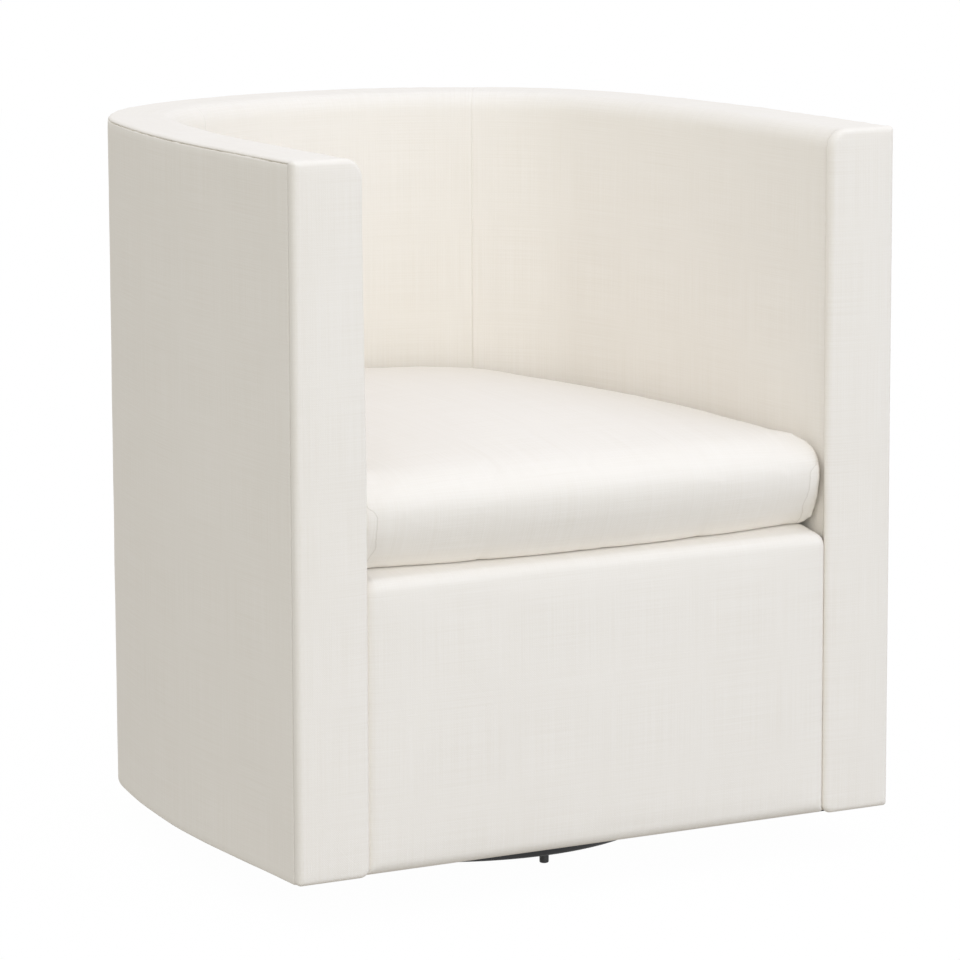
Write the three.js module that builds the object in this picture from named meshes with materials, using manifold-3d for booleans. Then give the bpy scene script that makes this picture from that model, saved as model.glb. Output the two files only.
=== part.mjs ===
import * as THREE from 'three';
import { mergeVertices } from 'three/addons/utils/BufferGeometryUtils.js';
import Module from 'manifold-3d';

// Swivel barrel chair. Millimetres, +Z up, front towards -Y, origin on the swivel axis at the floor.

const wasm = await Module();
wasm.setup();

const degree = Math.PI / 180;
const rightAngle = Math.PI / 2;

// Overall chair
const overallWidth = 711;
const overallDepth = 706;
const overallHeight = 778;
const floorClearance = 45;
const frontBow = 4;

// Plan of the barrel, seen from above: an arc across the back, one at each corner, one along each side
const cornerRadius = 241.5;
const backArc = 32.9 * degree;
const sideArc = 12.9 * degree;
const sideStraight = 193;
const insideSeamSetback = 1.7 * degree;
const outsideSeamShare = 0.4;
const backSteps = 6;
const cornerSteps = 3;
const sideSteps = 4;

// Layers of the wall, from outside to inside; the foam fills what the others leave
const wallThickness = 77;
const coverThickness = 1.5;
const paddingThickness = 4;
const boardThickness = 3;
const frameThickness = 22;
const topPadding = 14;
const innerTopRadius = 20;
const topEdgeWidth = 6;
const topEdgeDrop = 1.5;
const coverReturn = 20;

// Clearances
const gap = 0.3;
const overrun = 5;

// Padded fronts of the arms and the front panel below the seat
const frontPlyThickness = 15;
const frontDepth = 12;
const armEdgeRadius = 9;
const armBottomRadius = 10;
const outerEdgeRadius = 4;
const panelTop = 356;
const panelGap = 3;
const panelEdgeRadius = 10;
const panelCornerRadius = 15;
const panelBow = 5;
const panelSetback = 1;
const panelLipDepth = 80;
const frontBoardTop = 331;
const roundSteps = 2;
const faceShares = [0.4, 0.9];

// Frame
const panelPlyThickness = 18;
const railThickness = 18;
const seatRailWidth = 70;
const postWidth = 60;
const springRailWidth = 40;
const springRailHeight = 20;
const springRailFrontSetback = 75;
const springRailBackSetback = 168;

// Seat springs and deck
const springCount = 5;
const springSpacing = 78;
const springWire = 3.6;
const springWidth = 40;
const springCrown = 10;
const springWaves = 6;
const springStepsPerWave = 6;
const springClothThickness = 1.2;
const deckPadThickness = 20;
const dustClothThickness = 0.8;

// Swivel
const plateWidth = 180;
const plateThickness = 3;
const ballCircle = 136;
const ballDiameter = 8;
const ballClearance = 0.5;
const ballCount = 12;
const raceWidth = 16;
const raceHeight = 4;
const retainerWidth = 12;
const retainerThickness = 1.5;
const pinDiameter = 16;
const pinFlangeDiameter = 26;
const pinFlangeThickness = 3;
const boltDiameter = 6;
const boltHeadDiameter = 12;
const boltHeadHeight = 4;
const boltLength = 20;
const boltInset = 20;
const holeClearance = 0.4;
const flangeClearance = 3;

// Base
const ringDiameter = 474;
const ringWidth = 25;
const ringHeight = 18;
const ringWall = 2.5;
const ringEdge = 3;
const ringSegments = 48;
const crossWidth = 30;
const crossThickness = 6;
const glideCount = 4;
const glideDiameter = 10;
const glideHeight = 10;
const glideEdge = 1;
const glideStemDiameter = 6;
const glideStemHeight = 4;

// Loose seat cushion
const cushionGap = 1.5;
const cushionSetback = 13;
const cushionBow = 4;
const cushionCornerRadius = 30;
const cushionCrown = 115;
const cushionWallHeight = 88;
const cushionFrontHeight = 75;
const cushionBackLift = 24;
const cushionLiftTurn = 55 * degree;
const cushionBackInset = 6;
const cushionNoseInset = 24;

// Zip along the back of the cushion
const zipHeight = 11;
const zipRise = 14;
const zipThickness = 1.2;
const sliderWidth = 9;
const sliderHeight = 8;
const sliderThickness = 2.2;
const sliderClearance = 0.5;
const pullWidth = 5;
const pullLength = 9;

// Levels that follow from the sizes above
const halfWidth = overallWidth / 2;
const backY = overallDepth / 2;
const frontY = frontBow - overallDepth / 2;
const sideY = frontY + sideStraight;
const plyFrontY = frontY + frontDepth + gap;
const frameFrontY = plyFrontY + frontPlyThickness + gap;
const innerHalfWidth = halfWidth - wallThickness;
const panelHalfWidth = innerHalfWidth - panelGap;

const bodyBottom = floorClearance;
const frameBottom = bodyBottom + coverThickness + gap;
const postBottom = frameBottom + panelPlyThickness + gap;
const foamTop = overallHeight - coverThickness - gap;
const frameTop = foamTop - topPadding - gap;
const topRailBottom = frameTop - railThickness;
const outsideCoverTop = overallHeight - topEdgeDrop - coverThickness - gap;

const deckPadTop = panelTop - coverThickness - gap;
const springClothTop = deckPadTop - deckPadThickness - gap;
const springTop = springClothTop - springClothThickness - gap;
const springRailTop = springTop - springCrown - springWire - gap;
const seatRailTop = springRailTop - springRailHeight - gap;
const insideBottom = seatRailTop + gap;
const springFrontY = frontY + springRailFrontSetback;
const springBackY = backY - springRailBackSetback;

const paddingInset = coverThickness + gap;
const outerBoardInset = paddingInset + paddingThickness + gap;
const frameInset = outerBoardInset + boardThickness + gap;
const innerBoardInset = frameInset + frameThickness + gap;
const foamInset = innerBoardInset + boardThickness + gap;
const foamFace = wallThickness - coverThickness - gap;
const coverInset = wallThickness - coverThickness;
const seatInset = wallThickness + gap;

// The right half of the outline, from the middle of the back to where the side runs straight
const sideTurn = rightAngle - sideArc;
const insideSeamTurn = backArc - insideSeamSetback;
const outsideSeamTurn = backArc + (sideTurn - backArc) * outsideSeamShare;
const arcs = solveArcs();
const halfPlan = [];
const insideSeam = addStations(arcs.back, 0, insideSeamTurn, backSteps);
const backEnd = addStations(arcs.back, insideSeamTurn, backArc, 1);
const outsideSeam = addStations(arcs.corner, backArc, outsideSeamTurn, cornerSteps);
const cornerEnd = addStations(arcs.corner, outsideSeamTurn, sideTurn, cornerSteps);
const sideEnd = addStations(arcs.side, sideTurn, rightAngle, sideSteps);
const frontEnd = sideEnd + 1;

// The back and side radii take up the width and depth that the corner arc leaves them.
function solveArcs() {
  const reachX = halfWidth - cornerRadius * (Math.sin(sideTurn) - Math.sin(backArc));
  const reachY = backY - sideY - cornerRadius * (Math.cos(backArc) - Math.cos(sideTurn));
  const backAcross = Math.sin(backArc);
  const backAlong = 1 - Math.cos(backArc);
  const sideAcross = 1 - Math.sin(sideTurn);
  const sideAlong = Math.cos(sideTurn);
  const determinant = backAcross * sideAlong - sideAcross * backAlong;
  const backRadius = (reachX * sideAlong - sideAcross * reachY) / determinant;
  const sideRadius = (backAcross * reachY - backAlong * reachX) / determinant;
  const back = { x: 0, y: backY - backRadius, radius: backRadius };
  const corner = {
    x: back.x + (backRadius - cornerRadius) * Math.sin(backArc),
    y: back.y + (backRadius - cornerRadius) * Math.cos(backArc),
    radius: cornerRadius,
  };
  const side = { x: halfWidth - sideRadius, y: sideY, radius: sideRadius };
  return { back, corner, side };
}

// Adds the stations of one arc and returns the number of its last one. A station's turn is the
// direction it faces, measured from +Y.
function addStations(arc, fromTurn, toTurn, steps) {
  const first = halfPlan.length === 0 ? 0 : 1;
  for (let step = first; step <= steps; step += 1) {
    const turn = fromTurn + (toTurn - fromTurn) * step / steps;
    const x = arc.x + arc.radius * Math.sin(turn);
    const y = arc.y + arc.radius * Math.cos(turn);
    halfPlan.push({ x, y, turn });
  }
  return halfPlan.length - 1;
}

// Stations count from the middle of the back: to the right positive, to the left negative.
function stationAt(index) {
  const { x, y, turn } = halfPlan[Math.abs(index)];
  return index < 0 ? { x: -x, y, turn: -turn } : { x, y, turn };
}

function frontStation(side, y) {
  return { x: side * halfWidth, y, turn: side * rightAngle };
}

function wallPath(from, to, endY) {
  const path = [];
  if (from < -sideEnd) {
    path.push(frontStation(-1, endY));
  }
  for (let index = Math.max(from, -sideEnd); index <= Math.min(to, sideEnd); index += 1) {
    path.push(stationAt(index));
  }
  if (to > sideEnd) {
    path.push(frontStation(1, endY));
  }
  return path;
}

// Moves a station along the wall towards its neighbour, to leave a seam or a joint open.
function drawnBack(place, neighbour, distance) {
  const length = Math.hypot(neighbour.x - place.x, neighbour.y - place.y);
  const share = distance / length;
  const x = place.x + (neighbour.x - place.x) * share;
  const y = place.y + (neighbour.y - place.y) * share;
  return { x, y, turn: place.turn };
}

function shortenedPath(path, startTrim, endTrim) {
  const last = path.length - 1;
  const first = drawnBack(path[0], path[1], startTrim);
  const end = drawnBack(path[last], path[last - 1], endTrim);
  return [first, ...path.slice(1, last), end];
}

// A point of the wall, measured inward from the outside of the chair
function wallPoint(place, inset, z) {
  return [place.x - inset * Math.sin(place.turn), place.y - inset * Math.cos(place.turn), z];
}

// Half of the width between the walls at a depth y, at a given inset
function halfWidthAt(y, inset) {
  const points = wallPath(0, frontEnd, frontY).map((place) => wallPoint(place, inset, 0));
  const next = points.findIndex((point) => point[1] <= y);
  const [backPoint, frontPoint] = [points[next - 1], points[next]];
  const share = (backPoint[1] - y) / (backPoint[1] - frontPoint[1]);
  return backPoint[0] + (frontPoint[0] - backPoint[0]) * share;
}

// Closed geometry from points and triangles, with its faces outward
function closedGeometry(points, triangles) {
  const vectors = points.map((point) => new THREE.Vector3(...point));
  let volume = 0;
  for (const [a, b, c] of triangles) {
    volume += vectors[a].dot(vectors[b].clone().cross(vectors[c]));
  }
  const positions = [];
  for (const [a, b, c] of triangles) {
    const order = volume < 0 ? [a, c, b] : [a, b, c];
    for (const index of order) {
      positions.push(...points[index]);
    }
  }
  const geometry = new THREE.BufferGeometry();
  geometry.setAttribute('position', new THREE.Float32BufferAttribute(positions, 3));
  geometry.computeVertexNormals();
  return geometry;
}

// Triangles of a flat outline, all turning the same way as the outline does
function flatTriangles(outline) {
  const points = outline.map(([u, v]) => new THREE.Vector2(u, v));
  const turning = Math.sign(THREE.ShapeUtils.area(points));
  return THREE.ShapeUtils.triangulateShape(points, []).map(([a, b, c]) => {
    const area = THREE.ShapeUtils.area([points[a], points[b], points[c]]);
    return Math.sign(area) === turning ? [a, b, c] : [a, c, b];
  });
}

// Faces between two rings of points, which start at the given numbers
function bandTriangles(first, second, count) {
  const triangles = [];
  for (let index = 0; index < count; index += 1) {
    const next = (index + 1) % count;
    triangles.push([first + next, first + index, second + index]);
    triangles.push([first + next, second + index, second + next]);
  }
  return triangles;
}

// A solid skinned over rings of points; flat gives the two coordinates that its end caps lie in
function ringSolid(rings, flat) {
  const count = rings[0].length;
  const last = (rings.length - 1) * count;
  const triangles = flatTriangles(rings[0].map(flat));
  for (let ring = 0; ring + 1 < rings.length; ring += 1) {
    triangles.push(...bandTriangles(ring * count, (ring + 1) * count, count));
  }
  for (const [a, b, c] of flatTriangles(rings[rings.length - 1].map(flat))) {
    triangles.push([last + a, last + c, last + b]);
  }
  return closedGeometry(rings.flat(), triangles);
}

// A shell between outer and inner rings, open at its first ring and closed over its last
function ringShell(outerRings, innerRings, flat) {
  return ringSolid([...outerRings.slice().reverse(), ...innerRings], flat);
}

// A section of insets and heights, carried along a path of the wall
function sweptSection(path, section) {
  const rings = path.map((place) => section.map(([inset, z]) => wallPoint(place, inset, z)));
  const count = section.length;
  const last = (rings.length - 1) * count;
  const triangles = flatTriangles(section);
  for (let ring = 0; ring + 1 < rings.length; ring += 1) {
    triangles.push(...bandTriangles(ring * count, (ring + 1) * count, count));
  }
  for (const [a, b, c] of flatTriangles(section)) {
    triangles.push([last + a, last + c, last + b]);
  }
  return closedGeometry(rings.flat(), triangles);
}

function rectangleSection(nearInset, farInset, bottom, top) {
  return [[nearInset, bottom], [farInset, bottom], [farInset, top], [nearInset, top]];
}

function plate(outline, bottom, top, holes = []) {
  const shape = new THREE.Shape(outline);
  for (const hole of holes) {
    shape.holes.push(hole);
  }
  const geometry = new THREE.ExtrudeGeometry(shape, { depth: top - bottom, bevelEnabled: false });
  return geometry.translate(0, 0, bottom);
}

function circleHole(x, y, radius, segments) {
  const points = [];
  for (let index = 0; index < segments; index += 1) {
    const angle = 2 * Math.PI * index / segments;
    points.push(new THREE.Vector2(x + radius * Math.cos(angle), y + radius * Math.sin(angle)));
  }
  return new THREE.Path(points);
}

function squareHole(halfSize) {
  const corners = [[-1, -1], [1, -1], [1, 1], [-1, 1]];
  return new THREE.Path(corners.map(([x, y]) => new THREE.Vector2(x * halfSize, y * halfSize)));
}

function box(fromX, toX, fromY, toY, bottom, top) {
  const geometry = new THREE.BoxGeometry(toX - fromX, toY - fromY, top - bottom);
  return geometry.translate((fromX + toX) / 2, (fromY + toY) / 2, (bottom + top) / 2);
}

// A turned shape round the Z axis, from a profile of radii and heights
function turned(profile, segments) {
  const points = profile.map(([radius, height]) => new THREE.Vector2(radius, height));
  return new THREE.LatheGeometry(points, segments).rotateX(rightAngle);
}

function toManifold(geometry) {
  const bare = geometry.clone();
  bare.deleteAttribute('normal');
  bare.deleteAttribute('uv');
  const merged = mergeVertices(bare);
  const corners = [];
  for (let index = 0; index < merged.index.count; index += 3) {
    const [a, b, c] = [0, 1, 2].map((offset) => merged.index.getX(index + offset));
    if (a !== b && b !== c && c !== a) {
      corners.push(a, b, c);
    }
  }
  const vertProperties = new Float32Array(merged.attributes.position.array);
  const triVerts = new Uint32Array(corners);
  return new wasm.Manifold(new wasm.Mesh({ numProp: 3, vertProperties, triVerts }));
}

function fromManifold(manifold) {
  const { vertProperties, triVerts } = manifold.getMesh();
  const geometry = new THREE.BufferGeometry();
  geometry.setAttribute('position', new THREE.BufferAttribute(new Float32Array(vertProperties), 3));
  geometry.setIndex(new THREE.BufferAttribute(new Uint32Array(triVerts), 1));
  geometry.computeVertexNormals();
  return geometry;
}

function joined(...geometries) {
  return fromManifold(geometries.map(toManifold).reduce((sum, next) => sum.add(next)));
}

function cutBy(geometry, ...cutters) {
  return fromManifold(cutters.map(toManifold).reduce((rest, next) => rest.subtract(next), toManifold(geometry)));
}

const materials = {
  fabric: new THREE.MeshStandardMaterial({ color: 0xf3eee4, roughness: 0.95 }),
  padding: new THREE.MeshStandardMaterial({ color: 0xf7f6f0, roughness: 1 }),
  foam: new THREE.MeshStandardMaterial({ color: 0xe9dfae, roughness: 0.95 }),
  plywood: new THREE.MeshStandardMaterial({ color: 0xcfae7c, roughness: 0.8 }),
  fibreboard: new THREE.MeshStandardMaterial({ color: 0x9b7b58, roughness: 0.9 }),
  hardwood: new THREE.MeshStandardMaterial({ color: 0xb98f5c, roughness: 0.8 }),
  springSteel: new THREE.MeshStandardMaterial({ color: 0x8d9096, roughness: 0.4, metalness: 0.9 }),
  burlap: new THREE.MeshStandardMaterial({ color: 0xb9a27a, roughness: 1 }),
  dustCloth: new THREE.MeshStandardMaterial({ color: 0x1d1c1b, roughness: 1 }),
  blackSteel: new THREE.MeshStandardMaterial({ color: 0x121212, roughness: 0.5, metalness: 0.6 }),
  zincSteel: new THREE.MeshStandardMaterial({ color: 0xa9adb0, roughness: 0.4, metalness: 0.9 }),
  glide: new THREE.MeshStandardMaterial({ color: 0x0e0e0e, roughness: 0.6 }),
  zip: new THREE.MeshStandardMaterial({ color: 0xe6e0d2, roughness: 0.7 }),
};

const group = new THREE.Group();
const base = new THREE.Group();
const cage = new THREE.Group();
const seat = new THREE.Group();
const cushion = new THREE.Group();
group.add(base, cage, seat, cushion);

function addPiece(parent, name, geometry, material) {
  const mesh = new THREE.Mesh(geometry, material);
  mesh.name = name;
  parent.add(mesh);
  return mesh;
}

const sides = [{ name: 'left', sign: -1 }, { name: 'right', sign: 1 }];

// Levels of the base and the swivel
const ringBottom = glideHeight;
const ringTop = ringBottom + ringHeight;
const crossBottom = ringTop - crossThickness;
const lowerPlateBottom = ringTop + gap;
const upperPlateTop = frameBottom - gap;
const lowerPlateTop = lowerPlateBottom + plateThickness;
const upperPlateBottom = upperPlateTop - plateThickness;
const ballLevel = (lowerPlateTop + upperPlateBottom) / 2;
const plateHalf = plateWidth / 2;
const pinHoleRadius = pinDiameter / 2 + holeClearance;
const flangeHoleRadius = pinFlangeDiameter / 2 + flangeClearance;
const boltHoleRadius = boltDiameter / 2 + holeClearance;
const boltPlace = plateHalf - boltInset;
const boltCorners = [[1, 1], [-1, 1], [-1, -1], [1, -1]];
const roundSegments = 16;
const raceSegments = 36;
const boltSegments = 8;
const smallSegments = 10;
const ballSegments = 6;
const ballRings = 4;
const grooveSteps = 4;

// Round tube of the base, with a hole under it for each foot
function baseRing() {
  const outer = ringDiameter / 2;
  const inner = outer - ringWidth;
  const shell = turned([
    [inner, ringBottom], [outer - ringEdge, ringBottom], [outer, ringBottom + ringEdge],
    [outer, ringTop - ringEdge], [outer - ringEdge, ringTop], [inner, ringTop], [inner, ringBottom],
  ], ringSegments);
  const hollow = turned([
    [inner + ringWall, ringBottom + ringWall], [outer - ringWall, ringBottom + ringWall],
    [outer - ringWall, ringTop - ringWall], [inner + ringWall, ringTop - ringWall],
    [inner + ringWall, ringBottom + ringWall],
  ], ringSegments);
  const radius = glideStemDiameter / 2 + holeClearance;
  const holes = glidePlaces().map(({ x, y }) => {
    const cutter = new THREE.CylinderGeometry(radius, radius, ringWall + 2 * overrun, smallSegments);
    return cutter.rotateX(rightAngle).translate(x, y, ringBottom);
  });
  return cutBy(shell, hollow, ...holes);
}

// The feet sit under the ends of the cross, the first one straight in front.
function glidePlaces() {
  const radius = (ringDiameter - ringWidth) / 2;
  return Array.from({ length: glideCount }, (unused, index) => {
    const angle = -rightAngle + 2 * Math.PI * index / glideCount;
    return { x: radius * Math.cos(angle), y: radius * Math.sin(angle) };
  });
}

function baseCross() {
  const half = crossWidth / 2;
  const facet = (ringDiameter / 2 - ringWidth) * Math.cos(Math.PI / ringSegments);
  const reach = Math.sqrt(facet ** 2 - half ** 2) - gap;
  const outline = [];
  for (const angle of [0, 1, 2, 3].map((quarter) => quarter * rightAngle)) {
    for (const [along, across] of [[half, -half], [reach, -half], [reach, half]]) {
      const corner = new THREE.Vector2(along, across);
      outline.push(corner.rotateAround(new THREE.Vector2(), angle));
    }
  }
  return plate(outline, crossBottom, ringTop, [circleHole(0, 0, pinFlangeDiameter / 2 + gap, roundSegments)]);
}

// Square plate with a raised race for the balls on top; its underside is at height zero.
function swivelPlate() {
  const ballHeight = ballLevel - lowerPlateBottom;
  const raceTop = plateThickness + raceHeight;
  const grooveRadius = ballDiameter / 2 + ballClearance;
  const middle = ballCircle / 2;
  const half = raceWidth / 2;
  const grooveAngle = Math.asin((ballHeight - raceTop) / grooveRadius);
  const profile = [[middle - half, plateThickness / 2], [middle + half, plateThickness / 2], [middle + half, raceTop]];
  for (let step = 0; step <= grooveSteps; step += 1) {
    const angle = -grooveAngle - (Math.PI - 2 * grooveAngle) * step / grooveSteps;
    profile.push([middle + grooveRadius * Math.cos(angle), ballHeight + grooveRadius * Math.sin(angle)]);
  }
  profile.push([middle - half, raceTop], [middle - half, plateThickness / 2]);
  const corners = boltCorners.map(([x, y]) => new THREE.Vector2(x * plateHalf, y * plateHalf));
  const holes = boltCorners.map(([x, y]) => circleHole(x * boltPlace, y * boltPlace, boltHoleRadius, boltSegments));
  const flat = plate(corners, 0, plateThickness, [circleHole(0, 0, pinHoleRadius, roundSegments), ...holes]);
  return joined(flat, turned(profile, raceSegments));
}

// The balls with the flat ring that keeps them apart
function ballCage() {
  const middle = ballCircle / 2;
  const half = retainerWidth / 2;
  const low = ballLevel - retainerThickness / 2;
  const high = ballLevel + retainerThickness / 2;
  const retainer = turned([
    [middle - half, low], [middle + half, low], [middle + half, high], [middle - half, high], [middle - half, low],
  ], raceSegments);
  const balls = Array.from({ length: ballCount }, (unused, index) => {
    const angle = 2 * Math.PI * index / ballCount;
    const ball = new THREE.SphereGeometry(ballDiameter / 2, ballSegments, ballRings);
    return ball.translate(middle * Math.cos(angle), middle * Math.sin(angle), ballLevel);
  });
  return joined(retainer, ...balls);
}

// The pin holds the two plates together with a flange below the lower and above the upper one.
function centerPin() {
  const flange = pinFlangeDiameter / 2;
  const shaft = pinDiameter / 2;
  const low = lowerPlateBottom - gap;
  const high = upperPlateTop + gap;
  return turned([
    [0, low - pinFlangeThickness], [flange, low - pinFlangeThickness], [flange, low], [shaft, low],
    [shaft, high], [flange, high], [flange, high + pinFlangeThickness], [0, high + pinFlangeThickness],
  ], roundSegments);
}

function swivelBolt() {
  const head = boltHeadDiameter / 2;
  const shank = boltDiameter / 2;
  return turned([
    [0, -boltHeadHeight], [head, -boltHeadHeight], [head, 0], [shank, 0], [shank, boltLength], [0, boltLength],
  ], boltSegments);
}

function glide() {
  const foot = glideDiameter / 2;
  const stem = glideStemDiameter / 2;
  const shoulder = glideHeight - gap;
  return turned([
    [0, 0], [foot - glideEdge, 0], [foot, glideEdge], [foot, shoulder],
    [stem, shoulder], [stem, shoulder + glideStemHeight], [0, shoulder + glideStemHeight],
  ], smallSegments);
}

function addBase() {
  addPiece(base, 'base_ring', baseRing(), materials.blackSteel);
  addPiece(base, 'base_cross', baseCross(), materials.blackSteel);
  const lowerPlate = addPiece(base, 'lower_swivel_plate', swivelPlate(), materials.zincSteel);
  lowerPlate.position.z = lowerPlateBottom;
  addPiece(base, 'center_pin', centerPin(), materials.zincSteel);
  glidePlaces().forEach(({ x, y }, index) => {
    addPiece(base, `glide_${index + 1}`, glide(), materials.glide).position.set(x, y, 0);
  });
  addPiece(cage, 'ball_cage', ballCage(), materials.zincSteel);
}

function addSwivelTop() {
  const upperPlate = addPiece(seat, 'upper_swivel_plate', swivelPlate(), materials.zincSteel);
  upperPlate.position.z = upperPlateTop;
  upperPlate.rotation.x = Math.PI;
  boltCorners.forEach(([x, y], index) => {
    const bolt = addPiece(seat, `swivel_bolt_${index + 1}`, swivelBolt(), materials.zincSteel);
    bolt.position.set(x * boltPlace, y * boltPlace, upperPlateBottom - gap);
  });
}

// Outline of a level plate inside the walls: along the wall at an inset, straight across the front
function floorOutline(inset, endY) {
  return wallPath(-frontEnd, frontEnd, endY).map((place) => {
    const [x, y] = wallPoint(place, inset, 0);
    return new THREE.Vector2(x, y);
  });
}

function bottomPanel() {
  const boltHoles = boltCorners.map(([x, y]) => circleHole(x * boltPlace, y * boltPlace, boltHoleRadius, boltSegments));
  const holes = [circleHole(0, 0, flangeHoleRadius, roundSegments), ...boltHoles];
  return plate(floorOutline(frameInset, frameFrontY), frameBottom, frameBottom + panelPlyThickness, holes);
}

function dustCloth() {
  const top = frameBottom - gap;
  const outline = floorOutline(coverReturn + gap, plyFrontY);
  return plate(outline, top - dustClothThickness, top, [squareHole(plateHalf + flangeClearance)]);
}

function springRail(middleY) {
  const back = middleY + springRailWidth / 2;
  const front = middleY - springRailWidth / 2;
  const half = Math.min(halfWidthAt(back, seatInset), halfWidthAt(front, seatInset));
  return box(-half, half, front, back, springRailTop - springRailHeight, springRailTop);
}

function wallPost(from, to) {
  const section = rectangleSection(frameInset, innerBoardInset - gap, postBottom, topRailBottom - gap);
  return sweptSection(wallPath(from, to), section);
}

function armPost(sign) {
  const section = rectangleSection(frameInset, innerBoardInset - gap, postBottom, topRailBottom - gap);
  return sweptSection([frontStation(sign, frameFrontY), frontStation(sign, frameFrontY + postWidth)], section);
}

function addFrame() {
  const around = wallPath(-frontEnd, frontEnd, frameFrontY);
  const seatRail = rectangleSection(
    innerBoardInset, innerBoardInset + seatRailWidth, seatRailTop - railThickness, seatRailTop,
  );
  const topRail = rectangleSection(frameInset, innerBoardInset - gap, topRailBottom, frameTop);
  const outerBoard = rectangleSection(outerBoardInset, frameInset - gap, frameBottom, frameTop);
  const innerBoard = rectangleSection(innerBoardInset, foamInset - gap, insideBottom, frameTop);
  addPiece(seat, 'bottom_panel', bottomPanel(), materials.plywood);
  addPiece(seat, 'dust_cloth', dustCloth(), materials.dustCloth);
  addPiece(seat, 'seat_rail', sweptSection(around, seatRail), materials.plywood);
  addPiece(seat, 'top_rail', sweptSection(around, topRail), materials.plywood);
  addPiece(seat, 'outer_board', sweptSection(around, outerBoard), materials.fibreboard);
  addPiece(seat, 'inner_board', sweptSection(around, innerBoard), materials.fibreboard);
  addPiece(seat, 'spring_rail_front', springRail(springFrontY), materials.hardwood);
  addPiece(seat, 'spring_rail_back', springRail(springBackY), materials.hardwood);
  for (const { name, sign } of sides) {
    const backPost = sign < 0 ? wallPost(-backEnd, 1 - backEnd) : wallPost(backEnd - 1, backEnd);
    const sidePost = sign < 0 ? wallPost(-cornerEnd, 1 - cornerEnd) : wallPost(cornerEnd - 1, cornerEnd);
    addPiece(seat, `arm_post_${name}`, armPost(sign), materials.hardwood);
    addPiece(seat, `side_post_${name}`, sidePost, materials.hardwood);
    addPiece(seat, `back_post_${name}`, backPost, materials.hardwood);
  }
}

// A zigzag wire that rises to its crown half way
class SpringCurve extends THREE.Curve {
  getPoint(share, target = new THREE.Vector3()) {
    const wave = Math.sin(2 * Math.PI * springWaves * share);
    const y = springFrontY + (springBackY - springFrontY) * share;
    const z = springRailTop + gap + springWire / 2 + springCrown * Math.sin(Math.PI * share);
    return target.set(wave * springWidth / 2, y, z);
  }
}

function seatSpring() {
  const half = springWire / 2;
  const section = new THREE.Shape([[half, 0], [0, half], [-half, 0], [0, -half]].map(([x, y]) => new THREE.Vector2(x, y)));
  const steps = springWaves * springStepsPerWave;
  return new THREE.ExtrudeGeometry(section, { steps, extrudePath: new SpringCurve(), bevelEnabled: false });
}

function addDeck() {
  for (let index = 0; index < springCount; index += 1) {
    const spring = addPiece(seat, `seat_spring_${index + 1}`, seatSpring(), materials.springSteel);
    spring.position.x = (index - (springCount - 1) / 2) * springSpacing;
  }
  const outline = floorOutline(seatInset, frontY + panelLipDepth + gap);
  const cloth = plate(outline, springClothTop - springClothThickness, springClothTop);
  const pad = plate(outline, deckPadTop - deckPadThickness, deckPadTop);
  const deckCloth = plate(outline, panelTop - coverThickness, panelTop);
  addPiece(seat, 'spring_cloth', cloth, materials.burlap);
  addPiece(seat, 'deck_pad', pad, materials.foam);
  addPiece(seat, 'deck_cloth', deckCloth, materials.fabric);
}

// The inside face and the top of the wall at a depth below its surface, from the seat up and over
function insideContour(depth, outerEnd) {
  const steps = 3;
  const contour = [[wallThickness - depth, insideBottom]];
  for (let step = 0; step <= steps; step += 1) {
    const angle = rightAngle * step / steps;
    const inset = wallThickness - innerTopRadius + (innerTopRadius - depth) * Math.cos(angle);
    const z = overallHeight - innerTopRadius + (innerTopRadius - depth) * Math.sin(angle);
    contour.push([inset, z]);
  }
  contour.push([outerEnd, overallHeight - depth]);
  return contour;
}

function insideCoverSection() {
  const outer = [...insideContour(0, topEdgeWidth), [0, overallHeight - topEdgeDrop]];
  const innerEdge = overallHeight - topEdgeDrop - coverThickness;
  const inner = [...insideContour(coverThickness, topEdgeWidth), [0, innerEdge]];
  return [...outer, ...inner.reverse()];
}

function foamSection() {
  const face = insideContour(coverThickness + gap, outerBoardInset);
  return [...face, [outerBoardInset, frameTop + gap], [foamInset, frameTop + gap], [foamInset, insideBottom]];
}

// The inside cover runs on down beside the front panel, where the gap shows it.
function insideArmCover(sign) {
  const path = sidePath(sign, insideSeam, plyFrontY);
  const upper = sweptSection(path, insideCoverSection());
  const lower = sweptSection(
    [frontStation(sign, plyFrontY), frontStation(sign, frameFrontY - gap)],
    rectangleSection(coverInset, wallThickness, frameBottom, insideBottom + overrun),
  );
  return joined(upper, lower);
}

// The stretch of wall from a seam to the front on one side, drawn back a little at the seam
function sidePath(sign, seam, endY) {
  if (sign < 0) {
    return shortenedPath(wallPath(-frontEnd, -seam, endY), 0, gap / 2);
  }
  return shortenedPath(wallPath(seam, frontEnd, endY), gap / 2, 0);
}

function backPath(seam) {
  return shortenedPath(wallPath(-seam, seam), gap / 2, gap / 2);
}

function outsideCoverSection() {
  return [
    [0, bodyBottom], [coverReturn, bodyBottom], [coverReturn, bodyBottom + coverThickness],
    [coverThickness, bodyBottom + coverThickness], [coverThickness, outsideCoverTop], [0, outsideCoverTop],
  ];
}

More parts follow.
